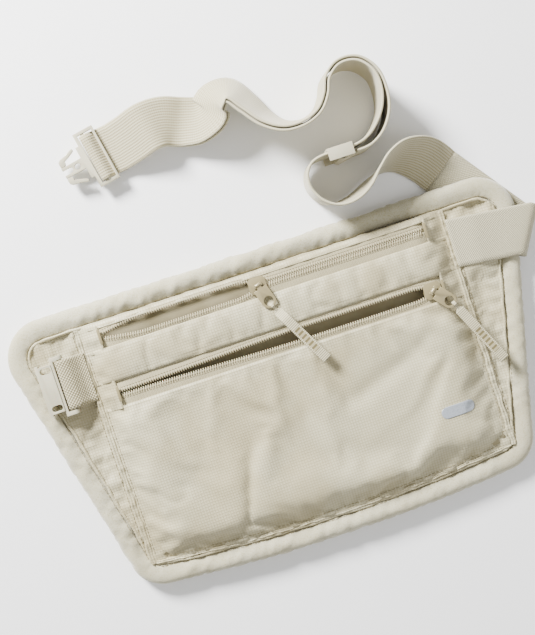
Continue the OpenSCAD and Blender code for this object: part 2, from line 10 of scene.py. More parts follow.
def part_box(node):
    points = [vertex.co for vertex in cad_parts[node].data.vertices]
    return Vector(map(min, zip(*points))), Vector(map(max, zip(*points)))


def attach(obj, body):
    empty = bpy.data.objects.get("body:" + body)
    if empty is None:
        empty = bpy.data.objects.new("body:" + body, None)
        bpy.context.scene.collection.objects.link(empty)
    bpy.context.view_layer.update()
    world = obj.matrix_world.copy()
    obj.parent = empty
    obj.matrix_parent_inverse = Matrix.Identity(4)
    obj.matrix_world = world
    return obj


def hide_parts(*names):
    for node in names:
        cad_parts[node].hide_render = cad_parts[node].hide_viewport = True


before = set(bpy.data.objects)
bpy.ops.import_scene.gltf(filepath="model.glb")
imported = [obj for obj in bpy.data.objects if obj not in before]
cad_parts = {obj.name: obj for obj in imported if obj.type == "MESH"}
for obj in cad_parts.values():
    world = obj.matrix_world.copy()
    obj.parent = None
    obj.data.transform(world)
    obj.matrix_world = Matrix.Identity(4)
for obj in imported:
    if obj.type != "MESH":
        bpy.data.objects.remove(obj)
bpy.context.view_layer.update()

# Lengths are in millimetres, and MM makes metres of them.
# The camera, the lights, the floor and the bands' paths are in metres.
MM = 0.001
BELT = "belt"
WEAVE_UNIT = 100


# ---------------------------------------------------------------- camera


def set_up_camera(place, target, right, lens):
    """A camera at place that looks at target, with right as its right-hand side."""
    data = bpy.data.cameras.new("camera")
    data.sensor_width = 36
    data.lens = lens
    data.clip_start = 0.01
    camera = bpy.data.objects.new("camera", data)
    bpy.context.scene.collection.objects.link(camera)
    back = (Vector(place) - Vector(target)).normalized()
    across = Vector(right)
    across = (across - back * across.dot(back)).normalized()
    up = back.cross(across)
    turn = Matrix((across, up, back)).transposed().to_4x4()
    camera.matrix_world = Matrix.Translation(place) @ turn
    bpy.context.scene.camera = camera


set_up_camera(
    place=(-0.016, 0.0713, 0.563),
    target=(-0.0029, 0.0414, 0),
    right=(0.9497, -0.3109, 0.0386),
    lens=62.36,
)


# ---------------------------------------------------------------- meshes


def new_piece(name, points, faces, material, body=BELT):
    """A smooth mesh piece from points in millimetres, riding on a body."""
    mesh = bpy.data.meshes.new(name)
    mesh.from_pydata([tuple(float(c) * MM for c in p) for p in points], [], faces)
    mesh.update()
    mesh.shade_smooth()
    piece = bpy.data.objects.new(name, mesh)
    bpy.context.scene.collection.objects.link(piece)
    mesh.materials.append(material)
    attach(piece, body)
    return piece


def grid_faces(rows, columns, close_rows=False, close_columns=False):
    """Quads of a grid whose points are listed row by row."""
    last_row = rows if close_rows else rows - 1
    last_column = columns if close_columns else columns - 1
    return [
        (
            i * columns + j,
            i * columns + (j + 1) % columns,
            ((i + 1) % rows) * columns + (j + 1) % columns,
            ((i + 1) % rows) * columns + j,
        )
        for i in range(last_row)
        for j in range(last_column)
    ]


def turned_over(faces):
    """Faces that look the other way."""
    return [tuple(reversed(face)) for face in faces]


def end_caps(rows, columns):
    """The two faces that close a tube made of rows of points."""
    return [tuple(reversed(range(columns))), tuple((rows - 1) * columns + k for k in range(columns))]


def lay_weave(piece, along, across):
    """A UV map of each point's millimetres along and across the cloth, over WEAVE_UNIT, for its weave."""
    mesh = piece.data
    layer = mesh.uv_layers.new(name="weave")
    corner = np.zeros(len(mesh.loops), int)
    mesh.loops.foreach_get("vertex_index", corner)
    uv = np.stack([np.asarray(along)[corner], np.asarray(across)[corner]], 1) / WEAVE_UNIT
    layer.data.foreach_set("uv", uv.ravel().astype(np.float32))


def thicken(piece, thickness, offset=-1.0):
    """Gives a sheet its thickness in millimetres, downwards unless offset says otherwise."""
    solid = piece.modifiers.new("thickness", "SOLIDIFY")
    solid.thickness = thickness * MM
    solid.offset = offset
    solid.use_even_offset = False
    apply_modifiers(piece)


def apply_modifiers(piece):
    """Bakes every modifier into the mesh."""
    bpy.context.view_layer.update()
    shape = piece.evaluated_get(bpy.context.evaluated_depsgraph_get())
    mesh = bpy.data.meshes.new_from_object(shape)
    piece.modifiers.clear()
    piece.data = mesh


def unit(vector):
    """The vector with a length of 1."""
    return vector / np.linalg.norm(vector)


# ---------------------------------------------------------------- shader maths


class Value:
    """One output of a finish's nodes. Sums, differences, products and powers add their Math nodes."""

    def __init__(self, finish, socket):
        self.finish = finish
        self.socket = socket

    def _math(self, operation, first, second=0.0):
        return self.finish.node("ShaderNodeMath", {"operation": operation}, {0: first, 1: second})

    def __add__(self, other):
        return self._math("ADD", self, other)

    def __sub__(self, other):
        return self._math("SUBTRACT", self, other)

    def __rsub__(self, other):
        return self._math("SUBTRACT", other, self)

    def __mul__(self, other):
        return self._math("MULTIPLY", self, other)

    def __pow__(self, other):
        return self._math("POWER", self, other)

    def wave(self):
        """Sine of the value, from 0 to 1."""
        return self._math("SINE", self) * 0.5 + 0.5

    def every(self, length):
        """A wave from 0 to 1 that comes back after each length."""
        return (self * (2 * math.pi / length)).wave()

    def larger(self, other):
        """Whichever of the two is larger."""
        return self._math("MAXIMUM", self, other)

    def above(self, edge, soft):
        """0 below edge - soft, 1 above edge + soft."""
        return self.finish.node(
            "ShaderNodeMapRange",
            {"interpolation_type": "SMOOTHSTEP"},
            {"Value": self, "From Min": edge - soft, "From Max": edge + soft},
        )


class Finish:
    """A material in the making: its nodes, and its Principled shader's settings."""

    def __init__(self, name, **settings):
        self.material = bpy.data.materials.new(name)
        self.material.use_nodes = True
        self.tree = self.material.node_tree
        self.shader = self.tree.nodes["Principled BSDF"]
        for socket, value in settings.items():
            self.shader.inputs[socket.replace("_", " ")].default_value = value

    def node(self, kind, settings=None, inputs=None, output=0):
        """Adds a node of this kind, with its settings and inputs, and gives one of its outputs."""
        made = self.tree.nodes.new(kind)
        for name, value in (settings or {}).items():
            setattr(made, name, value)
        for name, value in (inputs or {}).items():
            if isinstance(value, Value):
                self.tree.links.new(value.socket, made.inputs[name])
            else:
                made.inputs[name].default_value = value
        return Value(self, made.outputs[output])

    def feed(self, socket, value):
        """Joins a value to one of the shader's sockets."""
        self.tree.links.new(value.socket, self.shader.inputs[socket])

    def split(self, vector):
        """A vector's three parts."""
        return [self.node("ShaderNodeSeparateXYZ", {}, {0: vector}, k) for k in range(3)]

    def place(self):
        """Where a point is on the object, in metres."""
        return self.node("ShaderNodeTexCoord", {}, {}, "Object")

    def weave(self):
        """How far along and across the cloth a point is, in millimetres."""
        uv = self.node("ShaderNodeUVMap", {"uv_map": "weave"})
        along, across, _ = self.split(uv)
        return along * WEAVE_UNIT, across * WEAVE_UNIT

    def noise(self, vector, scale, detail, roughness=0.55):
        """Soft noise from 0 to 1."""
        return self.node(
            "ShaderNodeTexNoise",
            {},
            {"Vector": vector, "Scale": scale, "Detail": detail, "Roughness": roughness},
        )

    def blend(self, amount, first, second):
        """A colour between first and second."""
        return self.node(
            "ShaderNodeMix",
            {"data_type": "RGBA"},
            {0: amount, 6: first, 7: second},
            2,
        )

    def relief(self, height, distance_mm, strength):
        """Bumps of this height, as deep as distance_mm."""
        sizes = {"Strength": strength, "Distance": distance_mm * MM, "Height": height}
        self.feed("Normal", self.node("ShaderNodeBump", {}, sizes))


# The bright studio washes colours out, so each is laid on deeper and stronger than it should look.
DEPTH, STRENGTH = 0.62, 1.75


def light_share(level):
    """The share of full light that a colour level of 0 to 255 stands for."""
    share = level / 255
    return share / 12.92 if share < 0.04045 else ((share + 0.055) / 1.055) ** 2.4


def paint(red, green, blue):
    """The colour to lay on so that the cloth looks like this one, 0 to 255, in the studio."""
    shares = [light_share(level) for level in (red, green, blue)]
    grey = 0.21 * shares[0] + 0.72 * shares[1] + 0.07 * shares[2]
    return tuple(max(0.0, grey + (share - grey) * STRENGTH) * DEPTH for share in shares) + (1.0,)


# ---------------------------------------------------------------- finishes

# How often the yarns repeat on the cloths that are laid on by place, in metres.
RIPSTOP_GRID, SHELL_YARN = 0.0014, 0.00035
KNIT_ROW = 0.0026
LINING_YARN = 0.0005

# How often they repeat along and across the tapes and webbings.
ELASTIC_RIB, ELASTIC_WEFT = 1.35, 0.9
TAPE_HERRINGBONE, TAPE_TWILL = 1.4, 0.8
RIBBON_RIB, RIBBON_BAR = 1.0, 2.4
BAND_START, BAND_END = 25, 40


def shell_finish():
    """Light ripstop cloth with a slight satin sheen: fine yarns, with a grid of thicker ones."""
    f = Finish("shell_cloth", Roughness=0.55, Sheen_Weight=0.25, Sheen_Roughness=0.4)
    x, y, _ = f.split(f.place())
    rip = x.every(RIPSTOP_GRID).above(0.9, 0.1).larger(y.every(RIPSTOP_GRID).above(0.9, 0.1))
    weave = x.every(SHELL_YARN) * y.every(SHELL_YARN)
    wide = f.noise(f.place(), 28, 4)
    cloudy = f.blend(wide.above(0.5, 0.16), paint(206, 199, 177), paint(226, 221, 201))
    f.feed("Base Color", f.blend(rip * 0.55, cloudy, paint(176, 168, 143)))
    f.feed("Roughness", rip * 0.12 + wide * 0.12 + 0.42)
    f.relief(rip * 0.9 + weave * 0.3 + f.noise(f.place(), 240, 2) * 0.8, 0.14, 0.7)
    return f.material


def brushed_finish():
    """Soft brushed knit of the padded border, with painted shade among its fuzz."""
    f = Finish("brushed_knit", Roughness=0.9, Sheen_Weight=0.5, Sheen_Roughness=0.5)
    fuzz = f.noise(f.place(), 1500, 3, 0.7)
    wide = f.noise(f.place(), 45, 3)
    tone = f.blend(wide.above(0.5, 0.2), paint(216, 212, 194), paint(230, 227, 211))
    # The low parts of the fuzz are painted darker: painted shade among the fibres.
    f.feed("Base Color", f.blend(fuzz.above(0.42, 0.12) * 0.8, paint(192, 185, 162), tone))
    f.relief(fuzz + f.noise(f.place(), 420, 2) * 0.8, 0.16, 0.7)
    return f.material


def mesh_knit_finish():
    """Spacer knit on the back, with rows of small holes painted dark as the shade inside them."""
    f = Finish("back_mesh", Roughness=0.95, Sheen_Weight=0.3)
    x, y, _ = f.split(f.place())
    row = 2 * math.pi / KNIT_ROW
    one = (x * row).wave() * (y * row * 0.8).wave()
    other = (x * row + math.pi).wave() * (y * row * 0.8 + math.pi).wave()
    hole = one.larger(other).above(0.62, 0.16)
    yarn = (x * row * 6).wave() * 0.4 + f.noise(f.place(), 900, 2) * 0.4
    # The holes are painted dark: painted shade inside them.
    f.feed("Base Color", f.blend(hole, paint(213, 207, 187), paint(120, 112, 92)))
    f.relief(yarn - hole, 0.5, 0.8)
    return f.material


def lining_finish():
    """Plain woven lining."""
    f = Finish("lining_cloth", Roughness=0.7)
    x, y, _ = f.split(f.place())
    grain = x.every(LINING_YARN) * y.every(LINING_YARN)
    tone = f.noise(f.place(), 60, 3).above(0.5, 0.2)
    f.feed("Base Color", f.blend(tone, paint(176, 168, 146), paint(192, 185, 164)))
    f.relief(grain, 0.06, 0.5)
    return f.material


def elastic_finish():
    """Elastic webbing: rounded ribs along its length, crossed by fine weft, with painted shade in its
    grooves.
    """
    f = Finish("elastic_webbing", Roughness=0.8, Sheen_Weight=0.3, Sheen_Roughness=0.5)
    along, across = f.weave()
    uneven = f.noise(f.place(), 320, 2) * 1.6
    rib = (across * (2 * math.pi / ELASTIC_RIB) + uneven).wave()
    weft = (along * (2 * math.pi / ELASTIC_WEFT) + uneven + rib * 2.5).wave()
    fuzz = f.noise(f.place(), 1400, 2)
    height = rib * 0.6 + weft * 0.35 + fuzz * 0.25
    # The weave's low parts are painted darker: painted shade in its grooves.
    f.feed("Base Color", f.blend(height.above(0.55, 0.4), paint(178, 170, 147), paint(225, 220, 201)))
    f.relief(height, 0.22, 0.85)
    return f.material


def tape_finish():
    """Herringbone zip tape, with painted shade in the twill's grooves."""
    f = Finish("zip_tape", Roughness=0.8, Sheen_Weight=0.2)
    along, across = f.weave()
    zigzag = across.every(TAPE_HERRINGBONE) * 3.0
    twill = (along * (2 * math.pi / TAPE_TWILL) + zigzag).wave()
    # The twill's low lines are painted darker: painted shade in its grooves.
    f.feed("Base Color", f.blend(twill, paint(184, 176, 153), paint(215, 209, 188)))
    f.relief(twill + f.noise(f.place(), 1200, 2) * 0.4, 0.12, 0.8)
    return f.material


def diamond_finish(name, pitch_mm, light, dark, depth_mm):
    """Webbing with a small raised diamond weave, painted darker between the diamonds as painted shade."""
    f = Finish(name, Roughness=0.75, Sheen_Weight=0.2)
    along, across = f.weave()
    pitch = 2 * math.pi / pitch_mm
    one = (along * pitch + across * pitch).wave()
    other = (along * pitch - across * pitch).wave()
    knot = (one * other) ** 0.5
    # The low parts between the diamonds are painted darker: painted shade.
    f.feed("Base Color", f.blend(knot.above(0.45, 0.4), dark, light))
    f.relief(knot + f.noise(f.place(), 1300, 2) * 0.3, depth_mm, 1.0)
    return f.material


def ribbon_finish():
    """Narrow pull ribbon with crosswise ribs, painted darker between them as painted shade, and a darker
    woven band of plain bars along its middle.
    """
    f = Finish("pull_ribbon", Roughness=0.75, Sheen_Weight=0.2)
    along, across = f.weave()
    rib = along.every(RIBBON_RIB)
    band = along.above(BAND_START, 0.3) * (1 - along.above(BAND_END, 0.3))
    band = band * (1 - (across * across).above(2.6, 0.6))
    bars = along.every(RIBBON_BAR).above(0.45, 0.12)
    # The ground is painted darker between its ribs: painted shade.
    ground = f.blend(rib, paint(190, 183, 160), paint(226, 221, 203))
    woven = f.blend(bars, paint(120, 112, 90), paint(188, 181, 160))
    f.feed("Base Color", f.blend(band, ground, woven))
    f.relief(rib * (1 - band) + bars * band * 0.5, 0.16, 0.8)
    return f.material


def plastic_finish(name, light, rough):
    """Moulded acetal with a faint grain."""
    f = Finish(name, Roughness=rough, Coat_Weight=0.08, Subsurface_Weight=0.05, Subsurface_Scale=0.002)
    grain = f.noise(f.place(), 2600, 2)
    wide = f.noise(f.place(), 90, 2)
    darker = tuple(c * 0.9 for c in light[:3]) + (1.0,)
    f.feed("Base Color", f.blend(wide.above(0.5, 0.25), darker, light))
    f.feed("Roughness", grain * 0.18 + (rough - 0.09))
    f.relief(grain, 0.03, 0.5)
    return f.material


def enamel_finish():
    """Sand enamel on the sliders and tabs, a little worn."""
    f = Finish("slider_enamel", Roughness=0.34, Coat_Weight=0.35, Coat_Roughness=0.2)
    worn = f.noise(f.place(), 700, 4, 0.7).above(0.68, 0.05)
    f.feed("Base Color", f.blend(worn * 0.5, paint(170, 162, 140), paint(205, 200, 184)))
    f.feed("Metallic", worn * 0.3 + 0.15)
    f.feed("Roughness", f.noise(f.place(), 400, 2) * 0.2 + 0.25)
    f.relief(f.noise(f.place(), 900, 2), 0.02, 0.5)
    return f.material


def thread_finish():
    """Twisted sewing thread, a little darker than the cloth."""
    f = Finish("sewing_thread", Roughness=0.7, Sheen_Weight=0.3)
    twist = f.noise(f.place(), 3000, 1)
    f.feed("Base Color", f.blend(twist, paint(132, 122, 98), paint(176, 168, 145)))
    return f.material


def film_finish():
    """Grey retro-reflective film with fine cells."""
    f = Finish("reflective_film", Metallic=0.35, Roughness=0.35)
    cells = f.node("ShaderNodeTexVoronoi", {}, {"Vector": f.place(), "Scale": 1400})
    f.feed("Base Color", f.blend(cells, paint(214, 218, 222), paint(188, 192, 197)))
    f.feed("Roughness", cells * 0.3 + 0.3)
    f.relief(cells, 0.03, 0.4)
    return f.material


def floor_finish():
    """White studio paper."""
    f = Finish("studio_paper", Roughness=0.9)
    speck = f.noise(f.place(), 30, 2)
    f.feed("Base Color", f.blend(speck, (0.93, 0.93, 0.925, 1), (0.96, 0.96, 0.955, 1)))
    return f.material


shell = shell_finish()
brushed = brushed_finish()
back_mesh = mesh_knit_finish()
lining = lining_finish()
elastic = elastic_finish()
ribbon_web = ribbon_finish()
tape_cloth = tape_finish()
diamond = diamond_finish("loop_webbing", 1.7, paint(218, 213, 194), paint(172, 164, 141), 0.35)
fine_diamond = diamond_finish("sewn_webbing", 1.25, paint(222, 218, 201), paint(196, 190, 170), 0.22)
acetal = plastic_finish("buckle_acetal", paint(224, 220, 203), 0.42)
nylon = plastic_finish("coil_nylon", paint(208, 201, 180), 0.5)
enamel = enamel_finish()
thread = thread_finish()
film = film_finish()


# ---------------------------------------------------------------- the belt's outline

roll_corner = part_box("edge_roll")[1]
HALF_W = roll_corner.x / MM
TOP_Y = roll_corner.y / MM
# The corners' radii, where the lower corners' centres lie, and how far the bottom edge bows down.
TOP_R, BOTTOM_R = 20, 18
BOTTOM_CORNER_X = 91
BELLY = 5
# The border's width, the side seams' place, and the cloth's height where it is sewn down.
BORDER = 10.5
SEAM_X = 97
SEWN_Z = 6.9
EDGE_STEP = 1.7
BELLY_DEPTH = TOP_Y - BOTTOM_R
CORNER_DROP = BELLY_DEPTH - BELLY
BELLY_CENTRE = (BOTTOM_CORNER_X**2 + CORNER_DROP**2 - BELLY_DEPTH**2) / (2 * BELLY)
BELLY_R = BELLY_CENTRE + TOP_Y


def arc(centre, radius, start, end, count):
    """Points on an arc, from start to end in degrees."""
    angles = np.radians(np.linspace(start, end, count))
    return np.stack([centre[0] + radius * np.cos(angles), centre[1] + radius * np.sin(angles)], 1)


def spaced(line, spacing, closed=False):
    """The line again, with its points evenly spaced."""
    line = np.array(line, float)
    if closed:
        line = np.vstack([line, line[:1]])
    run = np.r_[0, np.cumsum(np.linalg.norm(np.diff(line, axis=0), axis=1))]
    count = max(2, int(round(run[-1] / spacing)) + 1)
    marks = np.linspace(0, run[-1], count)
    out = np.stack([np.interp(marks, run, line[:, k]) for k in range(line.shape[1])], 1)
    return out[:-1] if closed else out


def edge_line(spacing):
    """The belt's outer edge, anticlockwise from the lower left, and its outward directions."""
    top = (HALF_W - TOP_R, TOP_Y - TOP_R)
    bottom = (BOTTOM_CORNER_X, -CORNER_DROP)
    rise = (top[0] - bottom[0], top[1] - bottom[1])
    flare = math.degrees(math.asin((TOP_R - BOTTOM_R) / math.hypot(*rise)))
    lean = 90 + flare - math.degrees(math.atan2(rise[1], rise[0]))
    half = math.degrees(math.asin(BOTTOM_CORNER_X / (BELLY_R - BOTTOM_R)))
    right = np.vstack(
        [
            arc((0, BELLY_CENTRE), BELLY_R, -90, -90 + half, 60),
            arc(bottom, BOTTOM_R, -90 + half, -lean, 30)[1:],
            arc(top, TOP_R, -lean, 90, 40),
        ]
    )
    left = right[::-1] * (-1, 1)
    line = spaced(np.vstack([right, left[:-1]]), spacing, closed=True)
    ahead = np.roll(line, -1, 0) - np.roll(line, 1, 0)
    ahead /= np.linalg.norm(ahead, axis=1)[:, None]
    return line, np.stack([ahead[:, 1], -ahead[:, 0]], 1)


def wobble(along, seed, length):
    """Smooth noise from -1 to 1 along a line, with bumps about length long."""
    return noise.noise(Vector((along / length, seed * 7.31, seed * 1.7))) * 1.6


def ripple(x, y, seed, length):
    """Smooth noise from -1 to 1 over a cloth, with bumps about length long."""
    return noise.noise(Vector((x / length, y / length, seed * 3.3))) * 1.6


def ease(value):
    """0 up to 0, 1 from 1 on, and an even climb between."""
    value = min(1.0, max(0.0, value))
    return value * value * (3 - 2 * value)


# The strap is folded round the belt's right edge here, and runs on under the belt this way.
FOLD_CENTRE = np.array((135.0, 44.0, 0))
UNDER_RUN_WAY = math.radians(126.5)


def strap_channel_lift(x, y):
    """How far the belt's underside rises over the strap that runs under its top right corner."""
    start, end, half, slope, lift = -30, 75, 17.5, 4, 1.75
    dx, dy = x - FOLD_CENTRE[0], y - FOLD_CENTRE[1]
    along = dx * math.cos(UNDER_RUN_WAY) + dy * math.sin(UNDER_RUN_WAY)
    off = abs(-dx * math.sin(UNDER_RUN_WAY) + dy * math.cos(UNDER_RUN_WAY))
    return lift * ease((half - off) / slope) if start <= along <= end else 0.0


# ---------------------------------------------------------------- cloth


def let_cloth_settle(piece, held, swell, slack, frames, cap_mm):
    """Blender's cloth on a piece at ten times its size.

    Held points stay, slack is the spare cloth, and no point moves further than cap_mm.
    """
    size = 10
    piece.data.transform(Matrix.Scale(size, 4))
    before = np.array([v.co for v in piece.data.vertices])
    group = piece.vertex_groups.new(name="held")
    for index, share in enumerate(held):
        if share > 0:
            group.add([index], float(share), "REPLACE")
    cloth = piece.modifiers.new("settle", "CLOTH")
    facts = cloth.settings
    facts.quality = 6
    facts.mass = 0.4
    facts.tension_stiffness = 20
    facts.compression_stiffness = 20
    facts.shear_stiffness = 8
    facts.bending_stiffness = 0.6
    facts.air_damping = 2
    facts.vertex_group_mass = group.name
    facts.shrink_min = -slack
    facts.use_pressure = swell > 0
    facts.uniform_pressure_force = swell
    facts.effector_weights.gravity = 0
    cloth.collision_settings.use_collision = False
    cloth.point_cache.frame_start = 1
    cloth.point_cache.frame_end = frames
    scene = bpy.context.scene
    for step in range(1, frames + 1):
        scene.frame_set(step)
    shape = piece.evaluated_get(bpy.context.evaluated_depsgraph_get())
    after = np.array([v.co for v in shape.data.vertices])
    move = after - before
    length = np.linalg.norm(move, axis=1)[:, None]
    cap = cap_mm * MM * size
    move *= np.tanh(length / cap) * cap / np.maximum(length, 1e-9)
    piece.modifiers.clear()
    piece.vertex_groups.clear()
    scene.frame_set(1)
    piece.data.vertices.foreach_set("co", ((before + move) / size).ravel().astype(np.float32))
    piece.data.update()


# ---------------------------------------------------------------- padded border and back

EDGE, OUTWARD = edge_line(EDGE_STEP)
AROUND = range(0, len(EDGE), 2)


def edge_point(index, inset):
    """A point inset from the belt's outer edge."""
    return EDGE[index] - OUTWARD[index] * inset


def make_border():
    """The rolled border: a soft closed tube, of [inset, height], gathered where the seam pulls it in."""
    section = [
        (10.4, 0.5), (8, 0.15), (5.5, 0.1), (3, 0.2), (1.3, 0.9),
        (0.5, 2.2), (0.2, 3.8), (0.5, 5.4), (1.4, 6.8), (2.9, 7.8), (4.7, 8.2), (6.5, 8),
        (8.1, 7.4), (9.3, 6.7), (10.2, 5.9), (10.5, 3.2),
    ]  # fmt: skip
    points, held = [], []
    for i in range(len(EDGE)):
        run = i * EDGE_STEP
        gather = 0.55 * wobble(run, 1, 4.2) + 0.45 * wobble(run, 2, 11)
        thick = 0.25 * wobble(run, 3, 26)
        for inset, z in section:
            pull = max(0.0, (inset - 4) / 6.5) ** 1.4 if z > 4 else 0
            x, y = edge_point(i, inset + 0.35 * gather * pull)
            lift = strap_channel_lift(x, y) if z < 3 else 0
            points.append((x, y, z + lift * (1 - z / 6) + 0.8 * gather * pull + thick * (z > 4)))
            held.append(1.0 if z < 1 or inset > 9.8 else 0.25 if inset > 9 else 0.0)
    faces = grid_faces(len(EDGE), len(section), True, True)
    piece = new_piece("rolled_border", points, faces, brushed)
    let_cloth_settle(piece, held, swell=0.7, slack=0.035, frames=12, cap_mm=0.55)
    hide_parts("edge_roll")


def make_seam_binding():
    """The folded raw edge that stands up all round, just inside the border."""
    section = [(-0.9, -0.9), (-0.95, 0.2), (-0.5, 0.75), (0.1, 0.85), (0.75, 0.3), (0.9, -0.9)]
    points = []
    for i in range(len(EDGE)):
        run = i * EDGE_STEP
        shift = 0.4 * wobble(run, 5, 5)
        tall = 0.85 + 0.3 * wobble(run, 6, 4)
        for across, up in section:
            x, y = edge_point(i, BORDER + 0.7 + across * (1 + 0.25 * wobble(run, 7, 7)) + shift)
            points.append((x, y, 6.6 + up * tall + 0.25 * wobble(run, 8, 16)))
    faces = grid_faces(len(EDGE), len(section), True, True)
    piece = new_piece("border_binding", points, faces, shell)
    smooth_out(piece)


def smooth_out(piece):
    """Rounds a piece off by splitting each of its faces once."""
    rounded = piece.modifiers.new("rounded", "SUBSURF")
    rounded.levels = 1
    apply_modifiers(piece)


def spread_over_belt(inset, rings, height):
    """A grid from the belt's middle out to inset, with the height of each point from height(x, y, share)."""
    points = []
    for ring in range(rings + 1):
        share = ring / rings
        for i in AROUND:
            x, y = edge_point(i, inset)
            x, y = x * share, y * share
            points.append((x, y, height(x, y, share)))
    return points, grid_faces(rings + 1, len(AROUND), False, True)


def make_back_panel():
    """Padded back: knit underside, foam, and rounded where the border is sewn over its edge."""

    def under(x, y, share):
        quilt = 0.12 * ripple(x, y, 11, 30)
        return 0.14 + strap_channel_lift(x, y) + quilt * (1 - share**8) + 0.5 * share**14

    def over(x, y, share):
        return 2.35 + 0.12 * ripple(x, y, 12, 24) - 0.5 * share**14

    points, faces = spread_over_belt(BORDER - 0.3, 64, under)
    top, top_faces = spread_over_belt(BORDER - 0.3, 64, over)
    count = len(points)
    ring = len(AROUND)
    rim = count - ring
    faces = turned_over(faces)
    faces += [tuple(k + count for k in f) for f in top_faces]
    for k in range(ring):
        after = (k + 1) % ring
        faces.append((rim + k, rim + after, rim + count + after, rim + count + k))
    piece = new_piece("back_pad", points + top, faces, back_mesh)
    join_close_points(piece)
    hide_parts("back_panel")


def join_close_points(piece):
    """Merges points that lie on each other, and turns the faces outward."""
    reach = 0.01 * MM
    work = bmesh.new()
    work.from_mesh(piece.data)
    bmesh.ops.remove_doubles(work, verts=work.verts, dist=reach)
    bmesh.ops.dissolve_degenerate(work, edges=work.edges, dist=reach / 10)
    bmesh.ops.recalc_face_normals(work, faces=work.faces)
    work.to_mesh(piece.data)
    work.free()
    piece.data.update()


def make_lining():
    """The lining that covers the pad inside the pockets."""

    def height(x, y, share):
        return 2.75 + 0.15 * ripple(x, y, 14, 18) * (1 - share**6)

    points, faces = spread_over_belt(BORDER - 0.2, 40, height)
    piece = new_piece("pocket_lining", points, faces, lining)
    join_close_points(piece)
    thicken(piece, 0.2)
    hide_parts("back_lining")


# ---------------------------------------------------------------- sewn panels


def bottom_y(x, inset):
    """Where the pocket's bottom edge is at x."""
    radius = BELLY_R - BORDER - 2 - inset
    return BELLY_CENTRE - math.sqrt(radius * radius - x * x)


def soft_fold(x, y, start, end, width, height):
    """A long soft fold from start to end that dies away at both ends."""
    dx, dy = end[0] - start[0], end[1] - start[1]
    length = math.hypot(dx, dy)
    along = ((x - start[0]) * dx + (y - start[1]) * dy) / length
    off = (-(x - start[0]) * dy + (y - start[1]) * dx) / length
    share = along / length
    if share < -0.3 or share > 1.3:
        return 0.0
    fade = ease((share + 0.3) / 0.5) * ease((1.3 - share) / 0.5)
    return height * fade * math.exp(-((off / width) ** 2))


# Where each fold of the front cloth starts and ends, its width and its height.
FRONT_FOLDS = [
    ((-78, 12), (-62, -34), 9, 1.1), ((-66, 14), (-50, -6), 6, -1.0), ((-52, -8), (-70, -30), 5, -0.8),
    ((-42, -10), (-58, -50), 5, 0.9), ((-30, -14), (-44, -52), 4, -0.9), ((-22, -18), (-34, -56), 5, 0.8),
    ((-28, 16), (-6, -6), 7, 0.9), ((-6, 12), (2, -14), 5, -1.0), ((8, 16), (10, -10), 6, 1.2),
    ((20, 10), (22, -12), 4, -0.8), ((24, -12), (62, 2), 6, -1.3), ((34, -22), (70, -6), 7, 1.0),
    ((62, 2), (80, 16), 5, -0.9), ((10, -34), (44, -46), 7, -0.9), ((0, -44), (50, -58), 6, 0.7),
    ((-80, -8), (-92, -30), 4, 0.9), ((-88, 16), (-80, 2), 3.4, 0.8), ((70, 16), (88, 4), 3.5, 0.9),
    ((56, -34), (78, -50), 6, 0.8), ((-60, -46), (-80, -62), 5, 0.6),
]  # fmt: skip


def under_pulls(z):
    """A cloth height, held below the pulls that pass over it."""
    free, room, soft = 12.5, 1.1, 1.6
    return z if z < free else free + room * math.tanh((z - free) / soft)


def from_seam(x, reach):
    """0 at the side seams, easing to 1 at reach from them."""
    return ease((SEAM_X - 1.6 - abs(x)) / reach)


def front_height(x, y, top_y, low_y):
    """Height of the front cloth: low at its sewn edges, pillowed between, and folded."""
    side = from_seam(x, 17)
    bottom = ease((y - low_y - 0.6) / 17)
    from_top = (top_y - y) / 10
    body = SEWN_Z + 5.6 * (side * bottom) ** 0.72
    belly = 1.5 * side * bottom * ease(from_top) * (1 - 0.25 * abs(x) / SEAM_X)
    inner = min(1.0, 1.6 * side * bottom) * ease(from_top + 0.35)
    folds = sum(soft_fold(x, y, *fold) for fold in FRONT_FOLDS) * 1.6 * inner
    near_seam = max(0.0, 1 - abs(SEAM_X - abs(x)) / 16) + max(0.0, 1 - (y - low_y) / 14)
    pucker = 0.8 * near_seam * ripple(x, y, 21, 5.5) * min(1.0, 3 * side + 0.1)
    return under_pulls(body + belly + folds + pucker + 0.22 * inner * ripple(x, y, 22, 9))


def panel_grid(x_half, top_y, low_y_of, spacing, height):
    """Points and faces of a panel between its two seams, from its top edge down to low_y_of(x)."""
    columns = int(2 * x_half / spacing) + 1
    rows = int((top_y - low_y_of(0)) / spacing) + 1
    points = []
    for row in range(rows):
        share = row / (rows - 1)
        for column in range(columns):
            x = x_half * (2 * column / (columns - 1) - 1)
            y = top_y + (low_y_of(x) - top_y) * share
            points.append((x, y, height(x, y)))
    return points, grid_faces(rows, columns), rows, columns


def edge_share(rows, columns, deep):
    """1 at a grid's edges, falling to 0 over deep cells."""
    held = []
    for row in range(rows):
        for column in range(columns):
            near = min(row, rows - 1 - row, column, columns - 1 - column)
            held.append(1.0 if near == 0 else max(0.0, 1 - near / deep) * 0.5)
    return held


def sewn_panel(name, node, top_y, low_y_of, height, spacing=1.7, slack=0.03, cap=1.4):
    """A panel of shell cloth from side seam to side seam, settled with a little spare cloth."""
    points, faces, rows, columns = panel_grid(SEAM_X - 0.8, top_y, low_y_of, spacing, height)
    piece = new_piece(name, points, faces, shell)
    held = edge_share(rows, columns, 3)
    let_cloth_settle(piece, held, swell=0.15, slack=slack, frames=22, cap_mm=cap)
    thicken(piece, 0.35)
    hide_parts(node)


UPPER_Y, LOWER_Y = 59, 29
TAPE_HALF, TAPE_TOP = 7, 5
TURN_IN = 0.9
PANEL_RISE = 5.7


